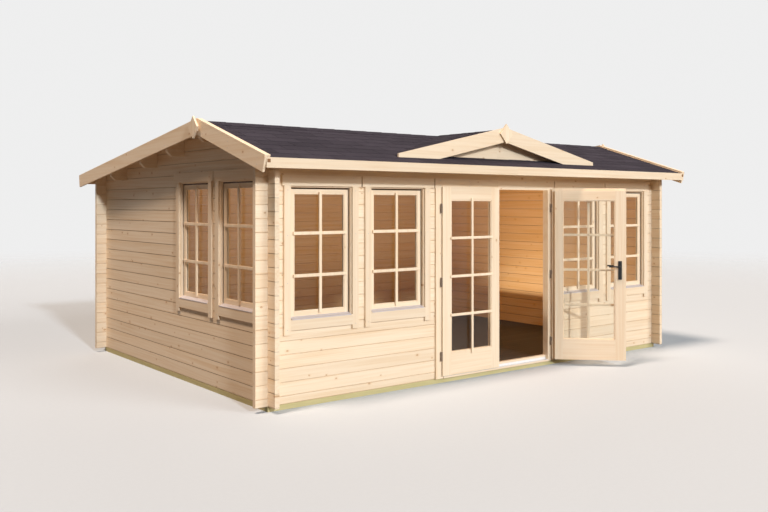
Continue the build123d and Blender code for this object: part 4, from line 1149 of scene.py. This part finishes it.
class CABIN_OT_screws(bpy.types.Operator):
    """Add the screw heads of trims, headers and roof edge boards"""
    bl_idname = "cabin.screws"
    bl_label = "Screws"

    def execute(self, context):
        bm = new_pieces()
        for place in window_places():
            for hand in (-1, 1):
                for z in (0.66, 1.05, 1.45, 1.83):
                    self.head(bm, place @ Vector((hand * 0.350, -0.0183, z)),
                              place.to_3x3() @ Vector((0.0, -1.0, 0.0)))
        for x in (-2.45, -1.80, -1.62, -1.0, -0.78, -0.4, 0.4, 0.78, 1.0, 1.62, 1.80, 2.45):
            for z in (1.885, 1.938):
                self.head(bm, Vector((x, WALL_FRONT - 0.0183, z)), Vector((0.0, -1.0, 0.0)))
        for hand in (-1, 1):
            for y in (-2.05, -1.55, -1.08, -0.85, -0.26, 0.39, 1.22, 2.05):
                slope = FRONT_SLOPE if y < RIDGE_Y else BACK_SLOPE
                base = RIDGE_Z - abs(y - RIDGE_Y) * math.tan(slope)
                for rise in (-0.005, -0.060):
                    self.head(bm, Vector((hand * 2.8551, y, base + rise)),
                              Vector((hand, 0.0, 0.0)))
        steel = material("brushed_steel", metal)
        finish_piece(bm, "board_screws", "cabin", steel, smooth=True)
        return {"FINISHED"}

    def head(self, bm, at, out):
        """A low round head"""
        rod(bm, at - out * 0.0002, at + out * 0.0009, 0.0032, 8, 0.0004)


class CABIN_PT_cabin(bpy.types.Panel):
    """The pieces of the cabin"""
    bl_label = "Cabin"
    bl_idname = "CABIN_PT_cabin"
    bl_space_type = "VIEW_3D"
    bl_region_type = "UI"
    bl_category = "Cabin"

    def draw(self, context):
        for operator in OPERATORS:
            self.layout.operator(operator.bl_idname)
        for group in GROUPS:
            settings = getattr(context.scene, group)
            for name in settings.bl_rna.properties.keys():
                if name not in ("rna_type", "name"):
                    self.layout.prop(settings, name)


GROUPS = {
    "cabin_timber": CabinTimber,
    "cabin_glazing": CabinGlazing,
    "cabin_roofing": CabinRoofing,
    "cabin_stage": CabinStage,
}
OPERATORS = (
    CABIN_OT_stage,
    CABIN_OT_timber,
    CABIN_OT_fittings,
    CABIN_OT_window_bars,
    CABIN_OT_seals,
    CABIN_OT_door_bars,
    CABIN_OT_boards,
    CABIN_OT_shingles,
    CABIN_OT_lock_parts,
    CABIN_OT_cover_strips,
    CABIN_OT_batten_ends,
    CABIN_OT_screws,
)


def register():
    for cls in (*GROUPS.values(), *OPERATORS, CABIN_PT_cabin):
        bpy.utils.register_class(cls)
    for name, group in GROUPS.items():
        setattr(bpy.types.Scene, name, PointerProperty(type=group))


def unregister():
    for name in GROUPS:
        delattr(bpy.types.Scene, name)
    for cls in (CABIN_PT_cabin, *reversed(OPERATORS), *GROUPS.values()):
        bpy.utils.unregister_class(cls)


def main():
    register()
    for operator in OPERATORS:
        group, name = operator.bl_idname.split(".")
        getattr(getattr(bpy.ops, group), name)()


if __name__ == "__main__":
    main()
